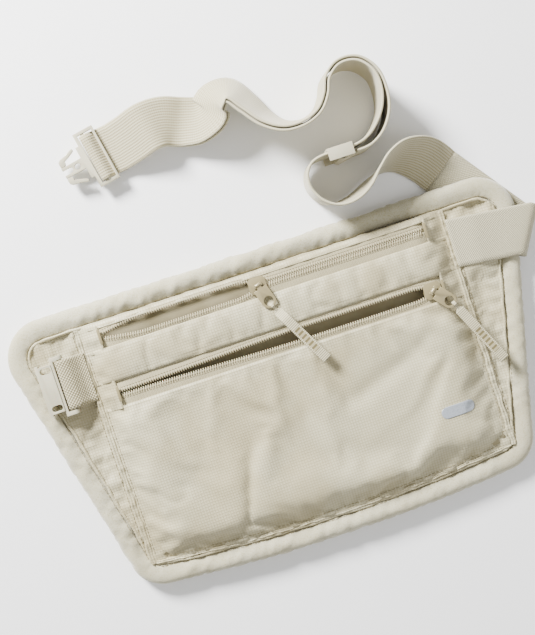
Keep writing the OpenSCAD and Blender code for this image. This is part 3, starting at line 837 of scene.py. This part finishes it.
def make_front_panel():
    """The front pocket's cloth, below the lower zip."""
    top = LOWER_Y - TAPE_HALF + TURN_IN

    def height(x, y):
        return front_height(x, y, top, bottom_y(x, 0))

    sewn_panel("front_pocket_cloth", "front_panel", top, lambda x: bottom_y(x, -0.4), height)


def make_mid_panel():
    """The cloth between the two zips."""
    top, low = UPPER_Y - TAPE_HALF + TURN_IN, LOWER_Y + TAPE_HALF - TURN_IN

    def height(x, y):
        side = from_seam(x, 15) ** 0.75
        across = (y - low) / (top - low)
        arch = math.sin(math.pi * across)
        pulls = 0.55 * ripple(x, y * 0.35, 31, 7) * arch**0.5 if 0 < across < 1 else 0
        return under_pulls(SEWN_Z + (PANEL_RISE + 0.9 * arch) * side + pulls * side)

    sewn_panel(
        "middle_cloth", "mid_panel", top, lambda x: low, height,
        spacing=1.4, slack=0.04, cap=0.8,
    )  # fmt: skip


def make_top_strip():
    """The narrow cloth above the upper zip."""
    top, low = TOP_Y - BORDER - 0.2, UPPER_Y + TAPE_TOP - TURN_IN

    def height(x, y):
        side = from_seam(x, 15) ** 0.75
        across = (top - y) / (top - low)
        return SEWN_Z + PANEL_RISE * side * (0.55 + 0.45 * across) + 0.3 * ripple(x, y, 33, 6)

    sewn_panel(
        "top_cloth", "top_strip", top, lambda x: low, height,
        spacing=0.8, slack=0.02, cap=0.4,
    )  # fmt: skip


def make_divider():
    """The sheet between the two pockets, hung from the cloth between the zips."""
    low = LOWER_Y + TAPE_HALF

    def height(x, y):
        return 7.2 + 0.3 * ripple(x, y, 35, 16)

    points, faces, rows, columns = panel_grid(94, low - 0.8, lambda x: bottom_y(x, 3), 3, height)
    for column in range(columns):
        points.append((points[column][0] * 0.92, low - 0.4, 11.6))
    hem = rows * columns
    faces += [(hem + c, hem + c + 1, c + 1, c) for c in range(columns - 1)]
    piece = new_piece("pocket_divider_cloth", points, faces, lining)
    thicken(piece, 0.3, 0)
    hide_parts("pocket_divider")


def wing_edge():
    """The wing's outer boundary, x for each y, up its sloping side."""
    line = np.array([edge_point(i, BORDER + 0.2) for i in range(len(EDGE))])
    right = line[(line[:, 0] > 92) & (line[:, 1] < TOP_Y - BORDER - 0.3)]
    return right[np.argsort(right[:, 1])]


WING_EDGE = wing_edge()


def make_wing(side):
    """One layer of cloth from the pocket's side seam out to the border, gathered at its edges."""
    inner = SEAM_X + 1.5
    top = TOP_Y - BORDER - 0.3
    lower_edge = WING_EDGE[WING_EDGE[:, 1] < -40]
    low = float(np.interp(inner + 1.5, lower_edge[:, 0], lower_edge[:, 1]))
    rows, columns = 78, 20
    points, held = [], []
    for row in range(rows):
        y = low + (top - low) * row / (rows - 1)
        outer = float(np.interp(y, WING_EDGE[:, 1], WING_EDGE[:, 0]))
        for column in range(columns):
            share = column / (columns - 1)
            x = inner + (outer - inner) * share
            mid = math.sin(math.pi * share)
            sag = 1.1 * mid * min(1, (outer - inner) / 12)
            to_top = max(0.0, 1 - (top - y) / 26)
            to_edge = max(0.0, share * 1.6 - 0.6)
            gathers = 0.9 * to_top * ripple(x, y * 0.25, 41 + side, 3.6) * min(1, (top - y) / 2)
            gathers += 0.6 * to_edge * ripple(x * 0.3, y, 43 + side, 3.4) * mid
            creases = 0.75 * ripple(x * 1.1, y * 0.6, 45 + side, 8) * mid
            raise_to_strap = 2.1 * ease((y - 26) / 10) * ease((64 - y) / 8) * mid if side > 0 else 0
            points.append((side * x, y, 6.6 - sag + gathers + creases + raise_to_strap))
            near = min(row, rows - 1 - row, column, columns - 1 - column)
            held.append(1.0 if near == 0 else 0.4 if near == 1 else 0.0)
    faces = grid_faces(rows, columns)
    if side < 0:
        faces = turned_over(faces)
    name = "right_wing" if side > 0 else "left_wing"
    piece = new_piece(name + "_cloth", points, faces, shell)
    let_cloth_settle(piece, held, swell=0.05, slack=0.04, frames=18, cap_mm=0.9)
    thicken(piece, 0.3)
    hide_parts(name)


# ---------------------------------------------------------------- seams


def sew_seam(name, node, line, section):
    """A seam whose section, as [sideways, up], follows a line of [x, y, z, sideways scale, up scale]."""
    line = np.array(line, float)
    ahead = np.gradient(line[:, :2], axis=0)
    ahead /= np.linalg.norm(ahead, axis=1)[:, None]
    points = []
    for (x, y, z, wide, tall), (ax, ay) in zip(line, ahead):
        for sideways, up in section:
            points.append((x + ay * sideways * wide, y - ax * sideways * wide, z + up * tall))
    faces = grid_faces(len(line), len(section), False, True) + end_caps(len(line), len(section))
    piece = new_piece(name, points, faces, shell)
    join_close_points(piece)
    smooth_out(piece)
    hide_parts(node)


SEAM_SECTION = [
    (-2.6, -1.6), (-2.5, -0.75), (-1.7, -0.45), (-1.35, 0.35), (-0.7, 0.8), (-0.15, 0.35),
    (0.35, 0.75), (1.05, 0.85), (1.5, 0.2), (1.75, -0.55), (2.5, -0.8), (2.6, -1.6),
]  # fmt: skip


def seam_line(path, z, seed):
    """A seam's line and scales with its ruffles, along a flat path."""
    step = 0.9
    line = []
    for k, (x, y) in enumerate(spaced(path, step)):
        run = k * step
        line.append(
            (
                x + 0.35 * wobble(run, seed, 6),
                y + 0.25 * wobble(run, seed + 1, 5),
                z + 0.25 * wobble(run, seed + 2, 4),
                1 + 0.2 * wobble(run, seed + 3, 5),
                1.35 + 0.6 * wobble(run, seed + 4, 2.6),
            )
        )
    return line


def make_side_seam(side):
    """The double-stitched seam that closes the pockets on one side."""
    name = "right_seam" if side > 0 else "left_seam"
    x = side * SEAM_X
    path = [(x, TOP_Y - BORDER - 0.4), (x, bottom_y(SEAM_X - 2, -1))]
    sew_seam(name + "_ridge", name, seam_line(path, SEWN_Z, 50 + side * 4), SEAM_SECTION)


def seam_arc(inset, reach, count):
    """An arc along the pockets' bottom edge, out to reach from the middle."""
    half = math.degrees(math.asin(reach / (BELLY_R - BORDER - 1.5)))
    return arc((0, BELLY_CENTRE), BELLY_R - BORDER - inset, -90 - half, -90 + half, count)


def make_bottom_seam():
    """The narrower seam along the pockets' bottom edge."""
    line = seam_line(seam_arc(1.9, SEAM_X - 1, 60), 6.7, 70)
    section = [(sideways * 0.62, up) for sideways, up in SEAM_SECTION]
    sew_seam("seam_binding_bottom", "bottom_seam", line, section)


# ---------------------------------------------------------------- webbing

WEB_HALF = 12.5
WEB_T = 1.25
WEB_SECTION = (
    [(a, 1.0) for a in (-0.975, -0.8, -0.5, -0.2, 0.1, 0.4, 0.7, 0.9, 0.975)]
    + [(1.0, 0.0)]
    + [(a, -1.0) for a in (0.975, 0.9, 0.7, 0.4, 0.1, -0.2, -0.5, -0.8, -0.975)]
    + [(-1.0, 0.0)]
)


def webbing(name, rings, body=BELT, material=elastic, half=WEB_HALF, thickness=WEB_T):
    """Webbing through rings of (centre, direction across, normal), in millimetres."""
    points, along, across = [], [], []
    run = 0.0
    before = None
    for centre, wide, normal in rings:
        centre, wide, normal = (np.array(v, float) for v in (centre, wide, normal))
        run += 0 if before is None else float(np.linalg.norm(centre - before))
        before = centre
        for a, b in WEB_SECTION:
            points.append(centre + wide * a * half + normal * b * thickness / 2)
            along.append(run)
            across.append(a * half)
    count = len(WEB_SECTION)
    faces = grid_faces(len(rings), count, False, True) + end_caps(len(rings), count)
    piece = new_piece(name, points, faces, material, body)
    lay_weave(piece, along, across)
    face_outward(piece)
    return piece


def face_outward(piece):
    """Turns every face of a closed piece outward."""
    work = bmesh.new()
    work.from_mesh(piece.data)
    bmesh.ops.recalc_face_normals(work, faces=work.faces)
    work.to_mesh(piece.data)
    work.free()
    piece.data.update()


# The free strap from the belt's top edge to the plug half.
# Each row is [x, y, z, twist, gap to the return layer].
ROUTE = [
    [104.5, 85, 0.8, 0, 0], [99.5, 91.5, 2.8, 14, 0], [93.5, 96, 6.4, 34, 0], [86.5, 98.4, 9.5, 54, 0],
    [79, 97.8, 11.6, 72, 0], [72, 94.6, 12.7, 86, 0], [65, 90, 12.8, 96, 0], [57, 86, 12.8, 98, 0],
    [48.5, 85, 12.8, 95, 0], [41, 88.5, 12.8, 91, 0], [36.8, 95.5, 12.8, 90, 0], [37, 102.6, 13.4, 90, 0],
    [40.4, 107.6, 14.2, 90, 0], [46, 109.4, 14.4, 90, 0], [54, 109.4, 14.4, 90, 0], [62, 109.4, 14.4, 90, 3],
    [69.4, 111.2, 13.8, 90, 4.2], [76, 115.8, 12.9, 90, 4.6], [81.6, 123, 12.8, 90, 3.8],
    [84, 132, 12.8, 88, 2.4], [83, 141, 12.8, 88, 2], [77, 148, 12.8, 88, 2], [68.5, 149.4, 12.8, 90, 2],
    [61.5, 145, 12.8, 92, 2], [58, 137.5, 12.8, 93, 2], [52.5, 131, 12.8, 94, 2], [44, 128, 12.7, 97, 2],
    [34, 129.6, 12.4, 104, 2], [26, 136.2, 11.8, 112, 2], [20, 145.6, 11.4, 118, 2],
    [13.5, 154.4, 11.4, 122, 2], [6, 153.4, 10.2, 132, 2], [1.4, 147.8, 7.4, 146, 2.2],
    [-5.4, 146.6, 3.6, 164, 2.2], [-14, 149, 2.4, 176, 2.2], [-22.6, 151.6, 5.4, 180, 2.2],
    [-31.4, 151.2, 7.8, 180, 2.2], [-40, 149, 4.6, 180, 2.2], [-48, 147.4, 1.2, 180, 1.8],
]  # fmt: skip
RETURN_FIRST = 15


def curve_through(points, steps):
    """A smooth line through the points, with steps to each span."""
    points = np.array(points, float)
    padded = np.vstack([points[:1], points, points[-1:]])
    out = []
    for k in range(len(points) - 1):
        a, b, c, d = padded[k : k + 4]
        for s in range(steps):
            t = s / steps
            square = 2 * a - 5 * b + 4 * c - d
            cube = 3 * b - a - 3 * c + d
            out.append(0.5 * (2 * b + (c - a) * t + square * t**2 + cube * t**3))
    return np.array(out + [points[-1]])


def strap_rings(line, side):
    """Rings along a route; side -1 is the return layer."""
    rings = []
    for k, (x, y, z, twist, gap) in enumerate(line):
        ahead = unit(line[min(k + 1, len(line) - 1)][:3] - line[max(k - 1, 0)][:3])
        right = unit(np.cross(ahead, (0, 0, 1)))
        up = np.cross(right, ahead)
        turn = math.radians(twist)
        wide = math.cos(turn) * right + math.sin(turn) * up
        normal = np.cross(wide, ahead)
        rings.append((np.array((x, y, z)) + side * gap * normal, wide, normal))
    return rings


WRAP_R = 1.65
PLUG_PIN = np.array((-60.5, 145.4, 4.6))
PLUG_YAW = math.radians(191)
PLUG_U = np.array((math.cos(PLUG_YAW), math.sin(PLUG_YAW), 0))
PLUG_V = np.array((-math.sin(PLUG_YAW), math.cos(PLUG_YAW), 0))


def bar_rings(path):
    """Rings across the plug half's bar, along a path of (u, z) in its own frame."""
    path = curve_through(path, 4)
    rings = []
    for k, (u, z) in enumerate(path):
        du, dz = path[min(k + 1, len(path) - 1)] - path[max(k - 1, 0)]
        slope = math.atan2(dz, du)
        normal = math.sin(slope) * PLUG_U - math.cos(slope) * np.array((0, 0, 1))
        centre = PLUG_PIN + PLUG_U * u
        centre[2] = z
        rings.append((centre, PLUG_V, normal))
    return rings


def path_of(rings):
    """The middle line of a band, in metres."""
    return [tuple(float(c) * MM for c in r[0]) for r in rings]


def declare_strap(path):
    """Takes a band's path and only reads its first point."""
    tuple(path[0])


def make_waist_strap():
    """The free strap out to the plug half, and its return layer from the bar back to the adjuster."""
    free = strap_rings(curve_through(ROUTE, 6), 0)
    free += bar_rings([(-5.6, 1.0), (-3.2, 1.5), (-1.4, 2.5), (0, 2.95)])
    strap = webbing("waist_strap", free)
    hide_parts("strap_free_run")
    back = strap_rings(curve_through(ROUTE[RETURN_FIRST:], 6), -1)
    back += bar_rings([(-6.6, 2.5), (-5, 2.7), (-3.7, 3.9), (-2.6, 5.3), (-1.3, 6.2), (0, 6.25)])
    turns = [math.radians(a) for a in range(0, 181, 20)]
    wrap = [(WRAP_R * math.sin(turn), PLUG_PIN[2] + WRAP_R * math.cos(turn)) for turn in turns]
    back += bar_rings(wrap)[1:]
    tail = webbing("waist_strap_return", back)
    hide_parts("strap_return_run", "strap_wrap")
    declare_strap(path_of(free))
    declare_strap(path_of(back)[::-1])


UP = np.array((0, 0, 1.0))
FOLD_AXIS = math.radians(60)
WING_STRAP_ANGLE = math.radians(-6.5)
WING_STRAP_START = np.array((SEAM_X + 0.4, 48.2, 0))
SEAM_STRAP_Z, WING_STRAP_Z, STRAP_Z = 7.75, 9.3, 0.8


def make_sewn_strap():
    """The strap from its seam across the right wing, folded askew round the belt's edge, and on below it."""
    half_at_fold = 1 / math.sin(FOLD_AXIS - WING_STRAP_ANGLE)
    fold_wide = np.array((math.cos(FOLD_AXIS), math.sin(FOLD_AXIS), 0)) * half_at_fold
    fold_out = np.array((math.sin(FOLD_AXIS), -math.cos(FOLD_AXIS), 0))
    rings = []
    for share in np.linspace(0, 1, 25):
        lean = math.radians(90) + (FOLD_AXIS - math.radians(90)) * share**1.5
        wide = np.array((math.cos(lean), math.sin(lean), 0)) / math.sin(lean - WING_STRAP_ANGLE)
        centre = WING_STRAP_START + (FOLD_CENTRE - WING_STRAP_START) * share
        climb = (WING_STRAP_Z - SEAM_STRAP_Z) * ease(share * 2.6)
        rings.append((centre + UP * (SEAM_STRAP_Z + climb + 0.12 * math.sin(share * 9)), wide, UP))
    radius = (WING_STRAP_Z - STRAP_Z) / 2
    middle = FOLD_CENTRE + UP * (STRAP_Z + radius)
    for angle in range(9, 180, 9):
        turn = math.radians(angle)
        normal = math.sin(turn) * fold_out + math.cos(turn) * UP
        rings.append((middle + radius * normal, fold_wide, normal))
    exit_centre, exit_wide, _ = strap_rings(curve_through(ROUTE, 6), 0)[0]
    for share in np.linspace(0, 1, 19):
        wide = fold_wide * (1 - share) + exit_wide * share
        centre = (FOLD_CENTRE + UP * STRAP_Z) * (1 - share) + exit_centre * share
        rings.append((centre, wide, -UP))
    piece = webbing("sewn_strap", rings, material=fine_diamond)
    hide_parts("strap_wing_run", "strap_fold", "strap_under_run")


def band_rings(path, place, wide):
    """Rings of a band whose path is (a, b) in a plane that place(a, b) puts in the world."""
    path = curve_through(path, 4)
    rings = []
    for k, (a, b) in enumerate(path):
        da, db = path[min(k + 1, len(path) - 1)] - path[max(k - 1, 0)]
        length = math.hypot(da, db)
        here = np.array(place(a, b), float)
        normal = np.array(place(a - db / length, b + da / length), float) - here
        rings.append((here, np.array(wide, float), normal))
    return rings


def make_socket_loop():
    """Short webbing that holds the socket half: out of the side seam, round the bar and back."""
    low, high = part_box("female_buckle")
    y = (low.y + high.y) / 2 / MM
    path = [
        (-96.9, 7.9), (-98.6, 8.2), (-100.6, 9), (-103, 11), (-105.2, 12.8), (-107.2, 13.5),
        (-109.1, 13.55), (-110.6, 13), (-111.15, 11.5), (-110.6, 10), (-109.1, 9.4), (-107, 9.0),
        (-104, 8.6), (-101, 8), (-97, 7),
    ]  # fmt: skip
    rings = band_rings(path, lambda a, b: (a, y, b), (0, 1, 0))
    piece = webbing("socket_webbing", rings, material=diamond, half=12.7, thickness=1.0)
    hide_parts("buckle_webbing_loop")


def make_end_loop():
    """The strap's end, sewn back on itself round the adjuster's middle bar."""
    low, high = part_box("tri_glide")
    strap_y, bar_offset = 109.4, 3.05
    x, y, z = 55.5, strap_y - bar_offset, (low.z + high.z) / 2 / MM
    path = [
        (6.3, 0.72), (4.4, 0.74), (2.6, 1.15), (1.2, 1.5), (0, 1.56), (-1.1, 1.1), (-1.56, 0),
        (-1.1, -1.1), (0, -1.56), (1.2, -1.5), (2.6, -1.15), (4.4, -0.74), (6.3, -0.72),
    ]  # fmt: skip
    rings = band_rings(path, lambda a, b: (x + a, y + b, z), (0, 0, 1))
    piece = webbing("strap_end", rings, body="strap_adjuster", half=12.45, thickness=1.2)
    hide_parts("strap_end_loop")
    return piece


# ---------------------------------------------------------------- hard parts


def softened(name, node, body, material, width_mm, segments=3):
    """A moulded or cast part: the frame's own shape with its edges rounded."""
    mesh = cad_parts[node].data.copy()
    mesh.materials.clear()
    piece = bpy.data.objects.new(name, mesh)
    bpy.context.scene.collection.objects.link(piece)
    mesh.materials.append(material)
    work = bmesh.new()
    work.from_mesh(mesh)
    bmesh.ops.remove_doubles(work, verts=work.verts, dist=0.004 * MM)
    bmesh.ops.dissolve_limit(work, angle_limit=math.radians(1), verts=work.verts, edges=work.edges)
    work.to_mesh(mesh)
    work.free()
    edges = piece.modifiers.new("rounded_edges", "BEVEL")
    edges.width = width_mm * MM
    edges.segments = segments
    edges.limit_method = "ANGLE"
    edges.angle_limit = math.radians(28)

    apply_modifiers(piece)
    piece.data.shade_smooth()
    piece.data.set_sharp_from_angle(angle=math.radians(40))
    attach(piece, body)
    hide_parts(node)
    return piece


PLUG = softened("plug_half_frame", "male_buckle_frame", "plug_half", acetal, 0.4)
PRONGS = [
    softened("plug_prong_" + which, "male_prong_" + which, which + "_prong", acetal, 0.35)
    for which in ("upper", "lower")
]
softened("socket_half_body", "female_buckle", "socket_half", acetal, 0.45)
GLIDE = softened("strap_adjuster_frame", "tri_glide", "strap_adjuster", acetal, 0.3)
END_LOOP = make_end_loop()


# ---------------------------------------------------------------- zips

ZIP_END = 86.5
COIL_Z = 12.2
COIL_W = 1.3
UPPER_SLIDER_X, LOWER_SLIDER_X = -3, 80


def cloth_z(x):
    """Height of the cloth beside a zip at x: it drops to the side seams."""
    return SEWN_Z + 5.65 * from_seam(x, 16) ** 0.73


def coil_z(x):
    """Height of a zip's teeth at x: they drop with the cloth beside them."""
    return COIL_Z - max(0.0, 12.4 - cloth_z(x))


def upper_gap(x):
    """Half the opening of the upper zip: undone left of its slider, done up right of it."""
    return 3.2 * min(ease((x + 92) / 30), ease((UPPER_SLIDER_X + 9 - x) / 22))


def lower_gap(x):
    """Half the opening of the lower zip, undone along nearly its whole length."""
    return (0.3 + 2.3 * ease((x + 84) / 105)) * ease((LOWER_SLIDER_X + 9 - x) / 20)


def zip_point(half_gap, zip_y, side, x, out, z=0.0):
    """A point beside a zip, out millimetres from its opening's edge."""
    return (x, zip_y + side * (half_gap(x) + out), coil_z(x) + z)


def make_tape(name, node, half_gap, zip_y, side, reach):
    """One tape of a zip, from its teeth down to where it is sewn under the cloth."""
    columns = [k - ZIP_END for k in range(int(2 * ZIP_END) + 1)]
    shares = [0, 0.12, 0.25, 0.45, 0.65, 0.85, 1.0]
    points, along, across = [], [], []
    for x in columns:
        start = half_gap(x) + COIL_W * 0.55
        for share in shares:
            out = start + (reach - start) * share
            edge = cloth_z(x) - 0.75
            top = coil_z(x) + 0.1
            dip = 0.12 * ripple(x, out * 2 + side, 61 + side, 7)
            points.append((x, zip_y + side * out, top + (edge - top) * share**1.5 + dip))
            along.append(x)
            across.append(out)
    faces = grid_faces(len(columns), len(shares))
    if side < 0:
        faces = turned_over(faces)
    piece = new_piece(name, points, faces, tape_cloth)
    lay_weave(piece, along, across)
    thicken(piece, 0.3)
    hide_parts(node)


def tube_loop(path, radius, sides=6):
    """Points and faces of one small closed tube along a path."""
    path = [np.array(p, float) for p in path]
    points = []
    for k, here in enumerate(path):
        ahead = unit(path[min(k + 1, len(path) - 1)] - path[max(k - 1, 0)])
        side = unit(np.cross(ahead, (1, 0.01, 0.02)))
        up = np.cross(side, ahead)
        share = 0.55 if k in (0, len(path) - 1) else 1
        for s in range(sides):
            turn = 2 * math.pi * s / sides
            points.append(here + radius * share * (math.cos(turn) * side + math.sin(turn) * up))
    return points, grid_faces(len(path), sides, False, True) + end_caps(len(path), sides)


def gather_parts(parts):
    """Many small shapes as one list of points and faces."""
    points, faces = [], []
    for some_points, some_faces in parts:
        start = len(points)
        points += some_points
        faces += [tuple(k + start for k in face) for face in some_faces]
    return points, faces


TOOTH_PITCH = 1.25


def make_coil(name, node, half_gap, zip_y, side):
    """Nylon teeth looped over the tape's edge."""
    shift = TOOTH_PITCH / 2 if side > 0 else 0
    parts = []
    for k in range(int(2 * (ZIP_END - 1) / TOOTH_PITCH)):
        x = -ZIP_END + 1 + shift + k * TOOTH_PITCH
        tip = 0.12 - (0.25 if half_gap(x) < 0.2 else 0.0)
        path = [(2.0, 0.42), (1.2, 0.5), (0.5, 0.46), (tip, 0.2), (tip, -0.2), (0.5, -0.44), (1.4, -0.46)]
        parts.append(tube_loop([zip_point(half_gap, zip_y, side, x, out, z) for out, z in path], 0.34))
    points, faces = gather_parts(parts)
    piece = new_piece(name, points, faces, nylon)
    face_outward(piece)
    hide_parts(node)


def make_zip_end(name, node, zip_y, front, rear, side):
    """The cloth tab over a zip's end, with its inner edge curled up."""
    columns, rows = 16, 18
    outer, inner = SEAM_X - 1.1, ZIP_END - 0.8
    points = []
    for row in range(rows):
        y = zip_y - front - TURN_IN + (front + rear + 2 * TURN_IN) * row / (rows - 1)
        for column in range(columns):
            share = column / (columns - 1)
            x = outer - (outer - inner) * share
            x -= 0.4 * math.sin(math.pi * row / (rows - 1)) * share
            ridge = 0.9 * math.exp(-(((y - zip_y) / 2.6) ** 2)) * ease(share * 3)
            curl = 0.95 * ease((share - 0.72) / 0.2) - 0.75 * ease((share - 0.92) / 0.08)
            crease = 0.35 * ripple(x, y, 65 + side, 4) * math.sin(math.pi * share)
            z = max(SEWN_Z + 0.05, cloth_z(x) + 0.35)
            points.append((side * x, y, z + ridge + curl + crease))
    faces = grid_faces(rows, columns)
    if side > 0:
        faces = turned_over(faces)
    piece = new_piece(name, points, faces, shell)
    thicken(piece, 0.45)
    smooth_out(piece)
    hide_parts(node)


def make_zip(which, half_gap, zip_y, front, rear):
    """A zip whose tapes reach front and rear from its middle: tapes, teeth, end tabs, stops and slider."""
    for side, word, reach in ((1, "rear", rear), (-1, "front", front)):
        make_tape(f"{which}_tape_{word}", f"{which}_zip_tape_{word}", half_gap, zip_y, side, reach + 0.7)
        make_coil(f"{which}_teeth_{word}", f"{which}_zip_coil_{word}", half_gap, zip_y, side)
    for side, word in ((-1, "left"), (1, "right")):
        make_zip_end(f"{which}_end_tab_{word}", f"{which}_zip_end_{word}", zip_y, front, rear, side)
    softened(f"{which}_stops", f"{which}_zip_stops", BELT, enamel, 0.15, 2)
    softened(f"{which}_slider_body", f"{which}_slider", f"{which}_slider", enamel, 0.22, 2)
    softened(f"{which}_tab", f"{which}_pull_tab", f"{which}_tab", enamel, 0.22, 2)


RIBBON_L = 38
EYE_LOOP_R = 1.4
EYE_RIM = 12.7
SLIDER_PIN_Z = 14.9


def make_ribbon(which, x, zip_y, tab_angle, ribbon_angle, rise):
    """The pull's ribbon, looped through the tab's hole and squeezed narrow where it passes through."""
    tab_way, way = math.radians(tab_angle), math.radians(ribbon_angle)
    hinge = np.array((x + EYE_RIM * math.cos(tab_way), zip_y + EYE_RIM * math.sin(tab_way), SLIDER_PIN_Z))
    ahead = np.array((math.cos(way), math.sin(way), 0))
    wide = np.array((-math.sin(way), math.cos(way), 0))
    turns = [math.radians(a) for a in range(35, 330, 35)]
    loop = [(EYE_LOOP_R * math.cos(turn), EYE_LOOP_R * math.sin(turn)) for turn in turns]
    path = [(3.0, 0.1), (2.1, 0.35), *loop, (2.1, -0.35), (3.0, -0.05), (4.2, 0.05), (6.4, rise * 0.5)]
    path += [(9 + k * (RIBBON_L - 9) / 8, rise + 0.12 * math.sin(k * 1.3)) for k in range(9)]
    line = curve_through(path, 4)
    first_wide = (len(loop) + 3) * 4
    rings = []
    for k, (a, b) in enumerate(line):
        da, db = line[min(k + 1, len(line) - 1)] - line[max(k - 1, 0)]
        opening = ease((a - 2.4) / 1.8) if k >= first_wide else 0
        normal = (UP * da - ahead * db) / math.hypot(da, db) * (0.5 + 0.5 * opening)
        rings.append((hinge + ahead * a + UP * b, wide * (0.32 + 0.68 * opening), normal))
    piece = webbing(f"{which}_ribbon_pull", rings, f"{which}_ribbon", ribbon_web, half=2.5, thickness=0.9)
    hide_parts(f"{which}_pull_ribbon")


# ---------------------------------------------------------------- mark and stitching


class Surface:
    """The finished cloth, to lay things on from above."""

    ABOVE_ALL = 40.0 * MM

    def __init__(self, names):
        work = bmesh.new()
        for name in names:
            work.from_mesh(bpy.data.objects[name].data)
        self.tree = BVHTree.FromBMesh(work)

    def height(self, x, y):
        """Height of the cloth in millimetres, or None beside it."""
        hit = self.tree.ray_cast(Vector((x * MM, y * MM, self.ABOVE_ALL)), Vector((0, 0, -1)))[0]
        return hit.z / MM if hit else None


# Along a stitch from 0 to 1, and how high it lies over the cloth there.
STITCH_SHAPE = [(0, 0.02), (0.18, 0.12), (0.5, 0.12), (0.82, 0.12), (1, 0.02)]


def lay_stitches(name, surface, lines, stitch=1.7, gap=0.55, radius=0.17):
    """Rows of thread stitches along flat lines, with their ends sunk into the cloth."""
    fine = 0.1
    step = round((stitch + gap) / fine)
    length = round(stitch / fine)
    parts = []
    for line in lines:
        line = spaced(line, fine)
        for start in range(0, len(line) - length, step):
            spots = [line[start + int(length * share)] for share, _ in STITCH_SHAPE]
            heights = [surface.height(x, y) for x, y in spots]
            if None not in heights:
                path = [(*spot, z + rise) for spot, z, (_, rise) in zip(spots, heights, STITCH_SHAPE)]
                parts.append(tube_loop(path, radius))
    points, faces = gather_parts(parts)
    piece = new_piece(name, points, faces, thread)
    face_outward(piece)


def stitch_cloth():
    """Stitches along the side seams, the border and the bottom seam."""
    cloth = Surface(
        [
            "front_pocket_cloth", "middle_cloth", "top_cloth", "left_wing_cloth", "right_wing_cloth",
            "left_seam_ridge", "right_seam_ridge", "seam_binding_bottom", "rolled_border", "border_binding",
        ]
    )  # fmt: skip
    top, low = TOP_Y - BORDER - 3, bottom_y(SEAM_X - 2, -1) + 4
    seam_rows = [side * (SEAM_X + off) for side in (-1, 1) for off in (-2.2, 2.3)]
    border_row = [edge_point(i % len(EDGE), BORDER - 0.9) for i in range(len(EDGE) + 1)]
    lay_stitches("side_seam_stitches", cloth, [[(x, top), (x, low)] for x in seam_rows])
    lay_stitches("border_stitches", cloth, [border_row])
    lay_stitches("bottom_seam_stitches", cloth, [seam_arc(4.1, SEAM_X - 6, 90)])


def stitch_zips():
    """Fine stitches on each side of both zips' teeth."""
    tapes = Surface(["upper_tape_rear", "upper_tape_front", "lower_tape_rear", "lower_tape_front"])
    rows = [
        [(x, zip_y + way * (half_gap(x) + 2.5)) for x in range(-84, 85, 2)]
        for zip_y, half_gap in ((UPPER_Y, upper_gap), (LOWER_Y, lower_gap))
        for way in (-1, 1)
    ]
    lay_stitches("zip_stitches", tapes, rows, stitch=1.1, gap=0.35, radius=0.1)


MARK_X, MARK_Y = 74, -32
MARK_STRAIGHT, MARK_R = 6, 3


def make_mark():
    """A plain rounded bar of reflective film on the front cloth."""
    surface = Surface(["front_pocket_cloth"])
    rows, columns = 15, 37
    points = []
    for row in range(rows):
        across = 2 * row / (rows - 1) - 1
        half = MARK_STRAIGHT + MARK_R * math.sqrt(max(0.0, 1 - across * across))
        for column in range(columns):
            x = MARK_X + half * (2 * column / (columns - 1) - 1)
            y = MARK_Y + MARK_R * across
            points.append((x, y, surface.height(x, y) + 0.25))
    piece = new_piece("front_mark", points, grid_faces(rows, columns), film)
    thicken(piece, 0.1)
    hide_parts("reflective_mark")


# ---------------------------------------------------------------- making the belt

make_waist_strap()
make_sewn_strap()
make_socket_loop()
make_border()
make_seam_binding()
make_back_panel()
make_lining()
make_front_panel()
make_mid_panel()
make_top_strip()
make_divider()
for side in (-1, 1):
    make_wing(side)
    make_side_seam(side)
make_bottom_seam()
make_zip("upper", upper_gap, UPPER_Y, front=TAPE_HALF, rear=TAPE_TOP)
make_zip("lower", lower_gap, LOWER_Y, front=TAPE_HALF, rear=TAPE_HALF)
make_ribbon("upper", UPPER_SLIDER_X, UPPER_Y, tab_angle=-72, ribbon_angle=-62, rise=2.4)
make_ribbon("lower", LOWER_SLIDER_X, LOWER_Y, tab_angle=-50, ribbon_angle=-65, rise=0)
make_mark()
stitch_cloth()
stitch_zips()


# ---------------------------------------------------------------- studio


def soft_light(name, place, aim, size, watts):
    """A round white lamp at place, turned to aim."""
    data = bpy.data.lights.new(name, "AREA")
    data.shape = "DISK"
    data.size = size
    data.energy = watts
    light = bpy.data.objects.new(name, data)
    light.location = place
    light.rotation_euler = (Vector(aim) - Vector(place)).to_track_quat("-Z", "Y").to_euler()
    bpy.context.scene.collection.objects.link(light)


FLOOR_HALF, FLOOR_DROP = 3.0, 0.0008


def make_floor():
    """A wide sheet of paper just under the belt."""
    ways = ((-1, -1), (1, -1), (1, 1), (-1, 1))
    corners = [(x * FLOOR_HALF, y * FLOOR_HALF, -FLOOR_DROP) for x, y in ways]
    mesh = bpy.data.meshes.new("studio_floor")
    mesh.from_pydata(corners, [], [(0, 1, 2, 3)])
    floor = bpy.data.objects.new("studio_floor", mesh)
    bpy.context.scene.collection.objects.link(floor)
    mesh.materials.append(floor_finish())


def fill_air(strength):
    """Even white light from all round."""
    world = bpy.data.worlds.new("studio_air")
    world.use_nodes = True
    background = world.node_tree.nodes["Background"]
    background.inputs["Color"].default_value = (1, 1, 1, 1)
    background.inputs["Strength"].default_value = strength
    bpy.context.scene.world = world


BELT_MIDDLE = (0, 0.04, 0)

make_floor()
fill_air(0.6)
soft_light("key", (-0.42, 0.8, 0.5), BELT_MIDDLE, size=0.3, watts=54)
soft_light("fill", (0.6, -0.5, 0.7), BELT_MIDDLE, size=0.9, watts=4)
